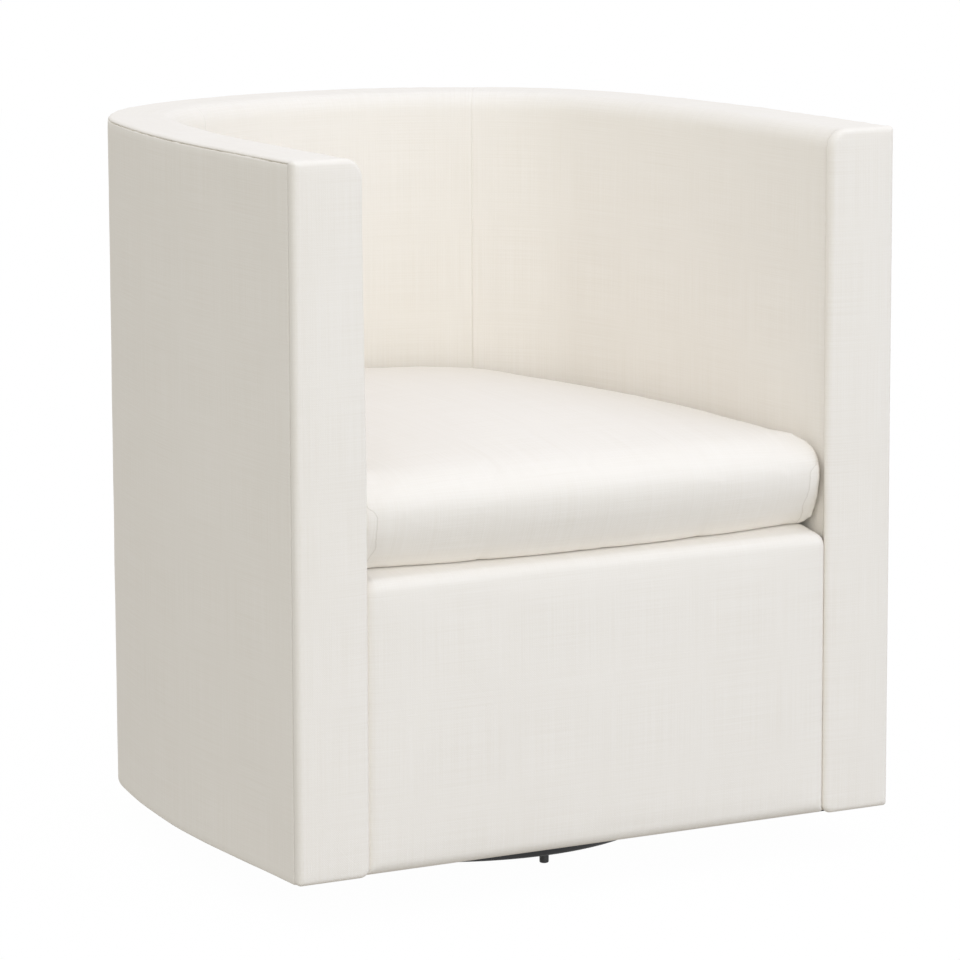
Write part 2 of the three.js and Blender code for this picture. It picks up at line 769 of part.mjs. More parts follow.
function addUpholstery() {
  const paddingSection = rectangleSection(paddingInset, outerBoardInset - gap, frameBottom, outsideCoverTop);
  const padding = sweptSection(wallPath(-frontEnd, frontEnd, plyFrontY), paddingSection);
  addPiece(seat, 'outside_padding', padding, materials.padding);
  addPiece(seat, 'inside_back_foam', sweptSection(backPath(insideSeam), foamSection()), materials.foam);
  addPiece(seat, 'inside_back_cover', sweptSection(backPath(insideSeam), insideCoverSection()), materials.fabric);
  addPiece(seat, 'outside_back_cover', sweptSection(backPath(outsideSeam), outsideCoverSection()), materials.fabric);
  for (const { name, sign } of sides) {
    const foam = sweptSection(sidePath(sign, insideSeam, frameFrontY), foamSection());
    const outside = sweptSection(sidePath(sign, outsideSeam, plyFrontY), outsideCoverSection());
    addPiece(seat, `inside_arm_foam_${name}`, foam, materials.foam);
    addPiece(seat, `inside_arm_cover_${name}`, insideArmCover(sign), materials.fabric);
    addPiece(seat, `outside_arm_cover_${name}`, outside, materials.fabric);
  }
}

// An upright outline with rounded corners, drawn in by an inset; radii run from the bottom left
// corner round to the top left one.
function uprightOutline(frame, inset) {
  const { left, right, bottom, top, radii } = frame;
  const corners = [
    { x: left, z: bottom, toX: 1, toZ: 1, start: 2 }, { x: right, z: bottom, toX: -1, toZ: 1, start: 3 },
    { x: right, z: top, toX: -1, toZ: -1, start: 0 }, { x: left, z: top, toX: 1, toZ: -1, start: 1 },
  ];
  return corners.flatMap(({ x, z, toX, toZ, start }, index) => {
    const radius = Math.max(radii[index] - inset, gap);
    const steps = roundSteps + 1;
    return Array.from({ length: steps + 1 }, (unused, step) => {
      const angle = rightAngle * (start + step / steps);
      const centerX = x + toX * (inset + radius);
      const centerZ = z + toZ * (inset + radius);
      return { x: centerX + radius * Math.cos(angle), z: centerZ + radius * Math.sin(angle) };
    });
  });
}

// Rings of a padded front at a depth below its surface: back rim, rounded edge, bowed face
function paddedRings(frame, depth) {
  const { edgeRadius, bow, faceY, rimDepth } = frame;
  const rim = uprightOutline(frame, depth).map(({ x, z }) => [x, faceY + rimDepth(z), z]);
  const rings = [rim];
  for (let step = 0; step <= roundSteps; step += 1) {
    const angle = rightAngle * (1 - step / roundSteps);
    const inset = edgeRadius - (edgeRadius - depth) * Math.sin(angle);
    const y = faceY + edgeRadius - (edgeRadius - depth) * Math.cos(angle);
    rings.push(uprightOutline(frame, inset).map(({ x, z }) => [x, y, z]));
  }
  const reach = Math.min(frame.right - frame.left, frame.top - frame.bottom) / 2 - edgeRadius;
  for (const share of faceShares) {
    const y = faceY + depth - bow * Math.sin(rightAngle * share);
    const outline = uprightOutline(frame, edgeRadius + reach * share);
    rings.push(outline.map(({ x, z }) => [x, y, z]));
  }
  return rings;
}

const upright = ([x, , z]) => [x, z];

function paddedCover(frame) {
  return ringShell(paddedRings(frame, 0), paddedRings(frame, coverThickness), upright);
}

function paddedFoam(frame) {
  const flatBacked = { ...frame, rimDepth: () => frontY + frontDepth - frame.faceY };
  return ringSolid(paddedRings(flatBacked, coverThickness + gap), upright);
}

function armFront(sign) {
  const innerSide = sign < 0 ? 'right' : 'left';
  const edges = sign < 0 ? [-halfWidth, -innerHalfWidth] : [innerHalfWidth, halfWidth];
  const [bottomLeft, bottomRight] = innerSide === 'right'
    ? [outerEdgeRadius, armBottomRadius] : [armBottomRadius, outerEdgeRadius];
  const [topLeft, topRight] = innerSide === 'right'
    ? [outerEdgeRadius, innerTopRadius] : [innerTopRadius, outerEdgeRadius];
  return {
    left: edges[0],
    right: edges[1],
    bottom: bodyBottom,
    top: overallHeight,
    radii: [bottomLeft, bottomRight, topRight, topLeft],
    edgeRadius: armEdgeRadius,
    bow: frontBow,
    faceY: frontY,
    rimDepth: () => frontDepth,
  };
}

function frontPanel() {
  const rounding = panelTop - panelCornerRadius / 2;
  return {
    left: -panelHalfWidth,
    right: panelHalfWidth,
    bottom: bodyBottom,
    top: panelTop,
    radii: [outerEdgeRadius, outerEdgeRadius, panelCornerRadius, panelCornerRadius],
    edgeRadius: panelEdgeRadius,
    bow: panelBow,
    faceY: frontY + panelSetback,
    rimDepth: (z) => (z > rounding ? panelLipDepth : frontDepth) - panelSetback,
  };
}

function uprightBlock(frame, frontFace, backFace) {
  const outline = uprightOutline(frame, 0);
  const ring = (y) => outline.map(({ x, z }) => [x, y, z]);
  return ringSolid([ring(frontFace), ring(backFace)], upright);
}

// The arm's front board fills the arm's section inside its padding and cover.
function armFrontBoard(sign) {
  const outer = halfWidth - outerBoardInset;
  const inner = halfWidth - foamFace;
  const edges = sign < 0 ? [-outer, -inner] : [inner, outer];
  const topCornerRadius = innerTopRadius - coverThickness - gap;
  const frame = {
    left: edges[0],
    right: edges[1],
    bottom: frameBottom,
    top: outsideCoverTop,
    radii: sign < 0 ? [gap, gap, topCornerRadius, gap] : [gap, gap, gap, topCornerRadius],
  };
  return uprightBlock(frame, plyFrontY, plyFrontY + frontPlyThickness);
}

// The soft roll above the front board, under the lip of the front cover
function frontEdgeRoll(half) {
  const topCornerRadius = panelCornerRadius - coverThickness - gap;
  const frame = {
    left: -half,
    right: half,
    bottom: frontBoardTop + gap,
    top: deckPadTop,
    radii: [gap, gap, topCornerRadius, topCornerRadius],
  };
  return uprightBlock(frame, plyFrontY, frontY + panelLipDepth);
}

function addFronts() {
  for (const { name, sign } of sides) {
    addPiece(seat, `arm_front_cover_${name}`, paddedCover(armFront(sign)), materials.fabric);
    addPiece(seat, `arm_front_foam_${name}`, paddedFoam(armFront(sign)), materials.foam);
    addPiece(seat, `arm_front_board_${name}`, armFrontBoard(sign), materials.plywood);
  }
  const half = panelHalfWidth - coverThickness - gap;
  const board = box(-half, half, plyFrontY, plyFrontY + frontPlyThickness, frameBottom, frontBoardTop);
  addPiece(seat, 'front_cover', paddedCover(frontPanel()), materials.fabric);
  addPiece(seat, 'front_foam', paddedFoam(frontPanel()), materials.foam);
  addPiece(seat, 'front_board', board, materials.plywood);
  addPiece(seat, 'front_edge_roll', frontEdgeRoll(half), materials.foam);
}

const cushionFrontShares = [0.5, 0, -0.5];

// Outline of the cushion at the walls and across its front, each point with its outward direction
function cushionOutline() {
  const inset = wallThickness + cushionGap;
  const front = frontY + cushionSetback;
  const radius = cushionCornerRadius;
  const half = innerHalfWidth - cushionGap;
  const walls = wallPath(-sideEnd, sideEnd).map((place) => {
    const [x, y] = wallPoint(place, inset, 0);
    return { x, y, turn: place.turn, wall: true };
  });
  const cornerTurns = [0, 1, 2].map((step) => rightAngle * (1 + step / 2));
  const rightCorner = cornerTurns.map((turn) => {
    const x = half - radius + radius * Math.sin(turn);
    const y = front + radius + radius * Math.cos(turn);
    return { x, y, turn, wall: false };
  });
  const frontPoints = cushionFrontShares.map((share) => {
    const x = (half - radius) * share;
    return { x, y: front - cushionBow * (1 - share * share), turn: Math.PI, wall: false };
  });
  const leftCorner = rightCorner.map(({ x, y, turn }) => ({ x: -x, y, turn: -turn, wall: false })).reverse();
  return [...walls, ...rightCorner, ...frontPoints, ...leftCorner];
}

// Side of the cushion from its underside up: shares of its inset, shares of its height, and the
// lean of its face in degrees. At the walls it stands back and swells out at the top; its front is
// a rounded nose.
const cushionWallSide = {
  inset: cushionBackInset,
  height: cushionWallHeight,
  insetShares: [3, 1.5, 1, 1, 0.7, 0.2, 0.5],
  heightShares: [0, 0.05, 0.14, 0.36, 0.7, 0.86, 1],
  leans: [-90, -45, 0, 0, 10, 35, 60],
};
const cushionFrontSide = {
  inset: cushionNoseInset,
  height: cushionFrontHeight,
  insetShares: [0.67, 0.21, 0.04, 0, 0.12, 0.42, 1],
  heightShares: [0, 0.07, 0.19, 0.43, 0.72, 0.88, 1],
  leans: [-90, -45, 0, 0, 15, 40, 65],
};
const crownShares = [0.06, 0.2, 0.45, 0.75];
const cushionBottom = panelTop + gap;
const cushionCenterY = (frontY + backY) / 2;

function cushionRings(depth, rings) {
  const outline = cushionOutline();
  const sectionRings = cushionWallSide.leans.map((unused, index) => outline.map((place) => {
    const { inset, height, insetShares, heightShares, leans } = place.wall ? cushionWallSide : cushionFrontSide;
    const lean = leans[index] * degree;
    const inward = inset * insetShares[index] + depth * Math.cos(lean);
    const fade = Math.max(0, 1 - (place.turn / cushionLiftTurn) ** 2);
    const lift = place.wall ? cushionBackLift * fade * Math.max(0, Math.sin(lean)) : 0;
    const z = cushionBottom + height * heightShares[index] + lift - depth * Math.sin(lean);
    return [place.x - inward * Math.sin(place.turn), place.y - inward * Math.cos(place.turn), z];
  }));
  const edge = sectionRings[sectionRings.length - 1];
  const top = cushionBottom + cushionCrown - depth;
  const crownRings = crownShares.map((share) => {
    const rise = 1 - (1 - share) ** 2;
    return edge.map(([x, y, z]) => [
      x * (1 - share), y + (cushionCenterY - y) * share, z + (top - z) * rise,
    ]);
  });
  const all = [...sectionRings, ...crownRings];
  return rings.map((index) => all[index]);
}

const level = ([x, y]) => [x, y];
const coverRings = [0, 1, 2, 3, 4, 5, 6, 7, 8, 9, 10];
const coreRings = [0, 1, 2, 3, 5, 6, 8, 10];

// The zip fills a slot in the cushion's upright back, as far as the back arc runs.
const zipInset = wallThickness + cushionGap + cushionBackInset;
const zipBottom = cushionBottom + zipRise;
const zipMark = insideSeam - 1;

function zipTape() {
  const section = rectangleSection(zipInset, zipInset + zipThickness, zipBottom, zipBottom + zipHeight);
  return sweptSection(wallPath(-zipMark, zipMark), section);
}

function cushionCover() {
  const outer = ringSolid(cushionRings(0, coverRings), level);
  const hollow = ringSolid(cushionRings(coverThickness, coreRings), level);
  const slotSection = rectangleSection(
    zipInset - overrun, zipInset + coverThickness + overrun, zipBottom - gap, zipBottom + zipHeight + gap,
  );
  const slot = sweptSection(shortenedPath(wallPath(-zipMark, zipMark), -gap, -gap), slotSection);
  return cutBy(outer, hollow, slot);
}

// Slider with its hanging pull, seen from behind and pressed flat against the zip
function zipSlider() {
  const half = sliderWidth / 2;
  const pullHalf = pullWidth / 2;
  const middle = zipHeight / 2;
  const top = middle + sliderHeight / 2;
  const bottom = middle - sliderHeight / 2;
  const outline = [
    [half, top], [-half, top], [-half, bottom], [-pullHalf, bottom],
    [-pullHalf, bottom - pullLength], [pullHalf, bottom - pullLength], [pullHalf, bottom], [half, bottom],
  ];
  const shape = new THREE.Shape(outline.map(([x, z]) => new THREE.Vector2(x, z)));
  const geometry = new THREE.ExtrudeGeometry(shape, { depth: sliderThickness, bevelEnabled: false });
  return geometry.rotateX(rightAngle).translate(0, sliderThickness, 0);
}

function addCushion() {
  addPiece(cushion, 'cushion_cover', cushionCover(), materials.fabric);
  addPiece(cushion, 'cushion_core', ringSolid(cushionRings(coverThickness + gap, coreRings), level), materials.foam);
  addPiece(cushion, 'zip_tape', zipTape(), materials.zip);
  const slider = addPiece(cushion, 'zip_slider', zipSlider(), materials.zincSteel);
  const closedTurn = halfPlan[zipMark].turn - sliderWidth / arcs.back.radius;
  const distance = arcs.back.radius - zipInset + sliderClearance;
  const x = arcs.back.x + distance * Math.sin(closedTurn);
  const y = arcs.back.y + distance * Math.cos(closedTurn);
  slider.position.set(x, y, zipBottom);
  slider.rotation.z = -closedTurn;
}

addBase();
addSwivelTop();
addFrame();
addDeck();
addUpholstery();
addFronts();
addCushion();

export default group;
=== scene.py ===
import math

import bmesh
import bpy
import numpy
from mathutils import Matrix, Vector, noise
from mathutils.kdtree import KDTree


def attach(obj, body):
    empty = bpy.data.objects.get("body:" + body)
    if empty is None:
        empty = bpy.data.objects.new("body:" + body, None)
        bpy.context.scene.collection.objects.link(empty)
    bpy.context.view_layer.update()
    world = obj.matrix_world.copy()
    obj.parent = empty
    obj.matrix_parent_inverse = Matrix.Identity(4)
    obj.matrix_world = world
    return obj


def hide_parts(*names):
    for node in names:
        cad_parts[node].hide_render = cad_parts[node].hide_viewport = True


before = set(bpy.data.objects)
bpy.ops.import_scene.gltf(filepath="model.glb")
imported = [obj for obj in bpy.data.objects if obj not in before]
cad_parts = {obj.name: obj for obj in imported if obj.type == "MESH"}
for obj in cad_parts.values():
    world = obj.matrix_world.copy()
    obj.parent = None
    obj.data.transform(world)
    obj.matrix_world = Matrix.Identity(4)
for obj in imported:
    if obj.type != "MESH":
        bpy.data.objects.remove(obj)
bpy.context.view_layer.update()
scene = bpy.context.scene
print("stage: frame loaded")


def linkObject(name, data):
    made = bpy.data.objects.new(name, data)
    scene.collection.objects.link(made)
    return made


# Camera, floor and light

photoCamera = {
    "place": (-2.5304, -4.6056, 1.2708),
    "yaw": 29.252,
    "pitch": 9.623,
    "roll": -0.191,
    "lens": 183.17,
    "sensor": 36.0,
}


def addCamera(values):
    data = bpy.data.cameras.new("photoCamera")
    data.lens = values["lens"]
    data.sensor_width = values["sensor"]
    yaw, pitch, roll = (math.radians(values[key]) for key in ("yaw", "pitch", "roll"))
    level = Vector((math.cos(yaw), -math.sin(yaw), 0))
    ahead = Vector((math.sin(yaw) * math.cos(pitch), math.cos(yaw) * math.cos(pitch), -math.sin(pitch)))
    upward = level.cross(ahead)
    across = level * math.cos(roll) + upward * math.sin(roll)
    over = upward * math.cos(roll) - level * math.sin(roll)
    camera = linkObject("photoCamera", data)
    camera.matrix_world = Matrix((across, over, -ahead)).transposed().to_4x4()
    camera.location = values["place"]
    scene.camera = camera


studio = {
    "floorSize": 16.0,
    "floorGlow": 0.985,
    "floorBounce": (0.390, 0.371, 0.345),
    "skyLow": (0.695, 0.70, 0.62),
    "skyHigh": (1.09, 1.105, 1.21),
    "lampAim": (0.0, 0.0, 0.40),
    "lampSize": 3.4,
    "lamps": {
        "keyLamp": ((-1.0, -5.4, 1.7), 70.0, (0.943, 0.992, 1.055)),
        "fillLamp": ((3.2, -4.4, 1.7), 27.5, (0.88, 1.0, 1.45)),
    },
}


def nodeTree(name):
    material = bpy.data.materials.new(name)
    material.use_nodes = True
    material.node_tree.nodes.clear()
    return material, material.node_tree


# A node with its settings. An input gets a value, or a link from a socket or from a node's first one.
def addNode(tree, kind, inputs=None, **settings):
    node = tree.nodes.new(kind)
    for key, value in settings.items():
        setattr(node, key, value)
    for key, value in (inputs or {}).items():
        if isinstance(value, bpy.types.Node):
            value = value.outputs[0]
        if isinstance(value, bpy.types.NodeSocket):
            tree.links.new(value, node.inputs[key])
        else:
            node.inputs[key].default_value = value
    return node


def mathNode(tree, operation, *terms, clamp=False):
    return addNode(tree, "ShaderNodeMath", dict(enumerate(terms)), operation=operation, use_clamp=clamp).outputs[0]


def mixColor(tree, factor, *ends):
    first, second = ((*end, 1) if isinstance(end, tuple) else end for end in ends)
    mix = addNode(tree, "ShaderNodeMix", {"Factor": factor, "A": first, "B": second}, data_type="RGBA")
    return mix.outputs["Result"]


# Ends a tree of the studio: the camera and mirrors see one shader, and the other lights the object
def endStudioTree(tree, outputKind, lighting, seen):
    rays = addNode(tree, "ShaderNodeLightPath").outputs
    mirrored = mathNode(tree, "MAXIMUM", rays["Is Glossy Ray"], rays["Is Transmission Ray"])
    direct = mathNode(tree, "MAXIMUM", rays["Is Camera Ray"], mirrored)
    mix = addNode(tree, "ShaderNodeMixShader", {"Fac": direct, 1: lighting, 2: seen})
    addNode(tree, outputKind, {"Surface": mix})


def addFloor(values):
    half = values["floorSize"] / 2
    mesh = bpy.data.meshes.new("studioFloor")
    corners = [(-half, -half, 0), (half, -half, 0), (half, half, 0), (-half, half, 0)]
    mesh.from_pydata(corners, [], [(0, 1, 2, 3)])
    floor = linkObject("studioFloor", mesh)
    material, tree = nodeTree("studioFloor")
    faint = 1 - values["floorGlow"]
    bounce = addNode(tree, "ShaderNodeEmission", {"Color": (*values["floorBounce"], 1), "Strength": 1.0})
    shaded = addNode(tree, "ShaderNodeBsdfDiffuse", {"Color": (faint, faint, faint, 1)})
    glow = addNode(tree, "ShaderNodeEmission", {"Color": (1, 1, 1, 1), "Strength": values["floorGlow"]})
    lit = addNode(tree, "ShaderNodeAddShader", {0: shaded, 1: glow})
    endStudioTree(tree, "ShaderNodeOutputMaterial", bounce, lit)
    mesh.materials.append(material)


def addSky(values):
    world = bpy.data.worlds.new("studioSky")
    world.use_nodes = True
    scene.world = world
    tree = world.node_tree
    tree.nodes.clear()
    ahead = addNode(tree, "ShaderNodeTexCoord").outputs["Generated"]
    level = addNode(tree, "ShaderNodeSeparateXYZ", {0: ahead}).outputs[2]
    shade = mixColor(tree, level, values["skyLow"], values["skyHigh"])
    sky = addNode(tree, "ShaderNodeBackground", {"Strength": 1.0, "Color": shade})
    white = addNode(tree, "ShaderNodeBackground", {"Color": (1, 1, 1, 1), "Strength": 1.0})
    endStudioTree(tree, "ShaderNodeOutputWorld", sky, white)


def addLamps(values):
    for name, (place, power, color) in values["lamps"].items():
        lamp = bpy.data.lights.new(name, "AREA")
        lamp.shape = "DISK"
        lamp.size = values["lampSize"]
        lamp.energy = power
        lamp.color = color
        stand = linkObject(name, lamp)
        stand.location = place
        aim = Vector(values["lampAim"]) - Vector(place)
        stand.rotation_euler = aim.to_track_quat("-Z", "Y").to_euler()


scene.view_settings.view_transform = "Standard"
addCamera(photoCamera)
addFloor(studio)
addSky(studio)
addLamps(studio)
print("stage: camera and studio set")

# Fabric finishes


# Starts a group of nodes; an input is given as its kind of socket and its default value
def newGroup(kind, name, inputs):
    group = bpy.data.node_groups.new(name, kind)
    for label, (socketKind, value) in inputs.items():
        socket = group.interface.new_socket(name=label, in_out="INPUT", socket_type=f"NodeSocket{socketKind}")
        if value is not None:
            socket.default_value = value
    return group, group.nodes.new("NodeGroupInput").outputs


def endGroup(group, socketKind="Float", **results):
    for label in results:
        group.interface.new_socket(name=label, in_out="OUTPUT", socket_type=f"NodeSocket{socketKind}")
    addNode(group, "NodeGroupOutput", results)
    return group


def noiseValue(tree, vector, scale, detail=2.0, roughness=0.5):
    inputs = {"Vector": vector, "Scale": scale, "Detail": detail, "Roughness": roughness}
    return addNode(tree, "ShaderNodeTexNoise", inputs).outputs["Fac"]


def stretched(tree, vector, scale):
    return addNode(tree, "ShaderNodeMapping", {"Vector": vector, "Scale": scale}).outputs["Vector"]


def splitAxes(tree, vector):
    return addNode(tree, "ShaderNodeSeparateXYZ", {0: vector}).outputs


weave = {
    "driftScale": 60.0,
    "driftStep": 25,
    "drift": 0.0016,
    "slubAcross": 900.0,
    "slubAlong": 55.0,
    "slubLimit": 0.98,
    "slubGain": 4.0,
    "slubHeight": 0.9,
    "streakAcross": 1100.0,
    "streakAlong": 9.0,
    "bandScale": (70.0, 2.5, 1.0),
    "threadHeight": 0.35,
    "threadShade": 0.12,
    "slubShade": 0.35,
    "bandShade": 0.35,
}


# A plain weave read in metres: crossing threads, and thick places in single threads both ways
def buildWeaveGroup(values):
    group, given = newGroup("ShaderNodeTree", "linenWeave", {
        "Vector": ("Vector", None), "Thread Pitch": ("Float", 0.0009), "Slub Share": ("Float", 0.5)})
    vector = given["Vector"]
    split = splitAxes(group, vector)
    waves, slubs, streaks = [], [], []
    for axis, turned in ((0, 1), (1, -1)):
        drift = noiseValue(group, vector, values["driftScale"] + values["driftStep"] * axis, 1.0)
        moved = mathNode(group, "MULTIPLY_ADD", drift, values["drift"], split[axis])
        turns = mathNode(group, "DIVIDE", moved, given["Thread Pitch"])
        waves.append(mathNode(group, "SINE", mathNode(group, "MULTIPLY", turns, math.pi)))
        scale = (values["slubAcross"], values["slubAlong"])[::turned]
        line = noiseValue(group, stretched(group, vector, (*scale, 1.0)), 1.0, 0.0)
        share = mathNode(group, "MULTIPLY", given["Slub Share"], 0.5)
        raised = mathNode(group, "SUBTRACT", line, mathNode(group, "SUBTRACT", values["slubLimit"], share))
        slubs.append(mathNode(group, "MULTIPLY", raised, values["slubGain"], clamp=True))
        scale = (values["streakAcross"], values["streakAlong"])[::turned]
        streaks.append(noiseValue(group, stretched(group, vector, (*scale, 1.0)), 1.0, 0.0))
    woven = mathNode(group, "MULTIPLY", *waves)
    slub = mathNode(group, "MAXIMUM", *slubs)
    raised = mathNode(group, "MULTIPLY", slub, values["slubHeight"])
    height = mathNode(group, "MULTIPLY_ADD", woven, values["threadHeight"], raised)
    streak = mathNode(group, "SUBTRACT", mathNode(group, "ADD", *streaks), 1.0)
    shade = mathNode(group, "MULTIPLY_ADD", woven, values["threadShade"], streak)
    shade = mathNode(group, "MULTIPLY_ADD", slub, values["slubShade"], shade)
    band = noiseValue(group, stretched(group, vector, values["bandScale"]), 1.0, 1.0)
    shade = mathNode(group, "MULTIPLY_ADD", mathNode(group, "SUBTRACT", band, 0.5), values["bandShade"], shade)
    return endGroup(group, Height=height, Shade=shade)


weaveGroup = buildWeaveGroup(weave)

linen = {
    "color": (0.904, 0.865, 0.800),
    "deep": (0.850, 0.803, 0.724),
    "pitch": 0.0009,
    "slubShare": 0.5,
    "spread": 0.80,
    "middle": 0.72,
    "cloudScale": 6.0,
    "cloud": 0.4,
    "bump": 0.30,
    "distance": 0.0004,
    "roughness": 0.92,
    "sheen": 0.06,
    "specular": 0.2,
    "facingPower": 6.0,
    "seamWidth": 0.0011,
    "seamDepth": 3.0,
    # Painted shade in the crease of the seams: how much of it, and its colour
    "seamShadowShare": 0.32,
    "seamShadowColor": (0.55, 0.49, 0.41),
}


def addWeave(tree, values, vector):
    inputs = {"Vector": vector, "Thread Pitch": values["pitch"], "Slub Share": values["slubShare"]}
    woven = addNode(tree, "ShaderNodeGroup", inputs, node_tree=weaveGroup).outputs
    return woven["Height"], woven["Shade"]


# The weave laid on three sides of an object and blended by the way its faces look
def addBoxedWeave(tree, values):
    place = addNode(tree, "ShaderNodeTexCoord").outputs
    parts, facing = splitAxes(tree, place["Object"]), splitAxes(tree, place["Normal"])
    weights = [mathNode(tree, "POWER", mathNode(tree, "ABSOLUTE", facing[axis]), values["facingPower"])
               for axis in range(3)]
    total = mathNode(tree, "ADD", mathNode(tree, "ADD", *weights[:2]), weights[2])
    height = shade = 0.0
    for weight, (first, second) in zip(weights, ((1, 2), (0, 2), (0, 1))):
        flat = addNode(tree, "ShaderNodeCombineXYZ", {0: parts[first], 1: parts[second]}).outputs[0]
        oneHeight, oneShade = addWeave(tree, values, flat)
        share = mathNode(tree, "DIVIDE", weight, total)
        height = mathNode(tree, "MULTIPLY_ADD", oneHeight, share, height)
        shade = mathNode(tree, "MULTIPLY_ADD", oneShade, share, shade)
    return height, shade


def seamLine(tree, values):
    line = addNode(tree, "ShaderNodeAttribute", attribute_name="seamDistance").outputs["Fac"]
    near = mathNode(tree, "DIVIDE", mathNode(tree, "ABSOLUTE", line), values["seamWidth"])
    return mathNode(tree, "SUBTRACT", 1.0, near, clamp=True)


def endSurface(tree, values, height, inputs):
    relief = {"Strength": values["bump"], "Distance": values["distance"], "Height": height}
    bump = addNode(tree, "ShaderNodeBump", relief)
    surface = addNode(tree, "ShaderNodeBsdfPrincipled", {**inputs, "Normal": bump})
    addNode(tree, "ShaderNodeOutputMaterial", {"Surface": surface})


def endCloth(tree, values, color, height):
    endSurface(tree, values, height, {
        "Base Color": color, "Roughness": values["roughness"], "Sheen Weight": values["sheen"],
        "Specular IOR Level": values["specular"]})


# Cloth woven along its own plan, or boxed: woven along the three axes, with sewn lines pressed in and darkened by
# painted shade in their crease
def clothMaterial(name, values, boxed=False):
    material, tree = nodeTree(name)
    if boxed:
        height, shade = addBoxedWeave(tree, values)
    else:
        plan = addNode(tree, "ShaderNodeUVMap", uv_map="weave").outputs["UV"]
        height, shade = addWeave(tree, values, plan)
    base = values["middle"]
    if "cloud" in values:
        spot = addNode(tree, "ShaderNodeTexCoord").outputs["Object"]
        cloud = noiseValue(tree, spot, values["cloudScale"], 3.0)
        base = mathNode(tree, "MULTIPLY_ADD", cloud, values["cloud"], base - values["cloud"] / 2)
    tone = mathNode(tree, "MULTIPLY_ADD", shade, values["spread"], base, clamp=True)
    color = mixColor(tree, tone, values["deep"], values["color"])
    if boxed:
        seam = seamLine(tree, values)
        height = mathNode(tree, "MULTIPLY_ADD", seam, -values["seamDepth"], height)
        # Painted shade: the seam's crease is darkened towards a brownish shadow colour
        color = mixColor(tree, mathNode(tree, "MULTIPLY", seam, values["seamShadowShare"]), color, values["seamShadowColor"])
    endCloth(tree, values, color, height)
    return material


ivoryLinen = clothMaterial("ivoryLinen", linen)
cushionLinen = clothMaterial("cushionLinen", linen, boxed=True)
print("stage: fabric finishes built")

# The plan of the wall: arcs from the middle of the back to the straight side, then the arm

wall = {
    "halfWidth": 0.3555,
    "backY": 0.353,
    "sideY": -0.156,
    "frontY": -0.349,
    "height": 0.778,
    "bottom": 0.045,
    "thickness": 0.077,
    "cornerRadius": 0.2415,
    "backTurn": math.radians(32.9),
    "sideTurn": math.radians(77.1),
    "insideSeamTurn": math.radians(31.2),
    "outsideSeamTurn": math.radians(50.58),
    "innerRound": 0.020,
    "insideBottom": 0.2985,
    "armEndY": -0.337,
}


def solvePlan(values):
    backTurn, sideTurn, corner = values["backTurn"], values["sideTurn"], values["cornerRadius"]
    reachX = values["halfWidth"] - corner * (math.sin(sideTurn) - math.sin(backTurn))
    reachY = values["backY"] - values["sideY"] - corner * (math.cos(backTurn) - math.cos(sideTurn))
    backAcross, backAlong = math.sin(backTurn), 1 - math.cos(backTurn)
    sideAcross, sideAlong = 1 - math.sin(sideTurn), math.cos(sideTurn)
    determinant = backAcross * sideAlong - sideAcross * backAlong
    backRadius = (reachX * sideAlong - sideAcross * reachY) / determinant
    sideRadius = (backAcross * reachY - backAlong * reachX) / determinant
    backCenter = values["backY"] - backRadius
    apart = backRadius - corner
    return [
        (0.0, backCenter, backRadius, 0.0, backTurn),
        (apart * math.sin(backTurn), backCenter + apart * math.cos(backTurn), corner, backTurn, sideTurn),
        (values["halfWidth"] - sideRadius, values["sideY"], sideRadius, sideTurn, math.pi / 2),
    ]


planArcs = solvePlan(wall)


def lengthAtTurn(turn):
    length = 0.0
    for _, _, radius, fromTurn, toTurn in planArcs:
        if turn <= toTurn:
            return length + radius * (turn - fromTurn)
        length += radius * (toTurn - fromTurn)
    return length


planSide = lengthAtTurn(math.pi)


# A station has a place on the outside of the wall and the turn that it faces, from the back
def stationAt(length):
    side = -1 if length < 0 else 1
    rest = abs(length)
    for centerX, centerY, radius, fromTurn, toTurn in planArcs:
        span = radius * (toTurn - fromTurn)
        if rest <= span:
            turn = fromTurn + rest / radius
            x = centerX + radius * math.sin(turn)
            return side * x, centerY + radius * math.cos(turn), side * turn
        rest -= span
    return side * wall["halfWidth"], wall["sideY"] - rest, side * math.pi / 2


def wallPoint(station, inset, z):
    x, y, turn = station
    return Vector((x - inset * math.sin(turn), y - inset * math.cos(turn), z))


insideSeam = lengthAtTurn(wall["insideSeamTurn"])
outsideSeam = lengthAtTurn(wall["outsideSeamTurn"])
armEnd = planSide + wall["sideY"] - wall["armEndY"]


def spaced(start, end, step):
    count = max(1, round(abs(end - start) / step))
    return [start + (end - start) * index / count for index in range(count + 1)]


# Lengths between two seams, closer together next to each seam
def seamSpaced(start, end, values):
    near = [start + edge for edge in values["seamSteps"]]
    far = [end - edge for edge in reversed(values["seamSteps"])]
    return near + spaced(near[-1], far[0], values["columnStep"])[1:-1] + far


def makeMesh(name, points, faces, uvs=None, weld=0.0):
    mesh = bpy.data.meshes.new(name)
    mesh.from_pydata(points, [], faces)
    if uvs:
        layer = mesh.uv_layers.new(name="weave")
        for loop in mesh.loops:
            layer.data[loop.index].uv = uvs[loop.vertex_index]
    mesh.update()
    piece = linkObject(name, mesh)
    work = bmesh.new()
    work.from_mesh(mesh)
    if weld:
        bmesh.ops.remove_doubles(work, verts=work.verts, dist=weld)
        bmesh.ops.dissolve_degenerate(work, edges=work.edges, dist=weld / 10)
    bmesh.ops.recalc_face_normals(work, faces=work.faces)
    work.to_mesh(mesh)
    work.free()
    for polygon in mesh.polygons:
        polygon.use_smooth = True
    return piece


def finishPiece(piece, body, slotName, replaced=(), material=None):
    if material:
        piece.data.materials.clear()
        piece.data.materials.append(material)
    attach(piece, body)
    if replaced:
        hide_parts(*replaced)


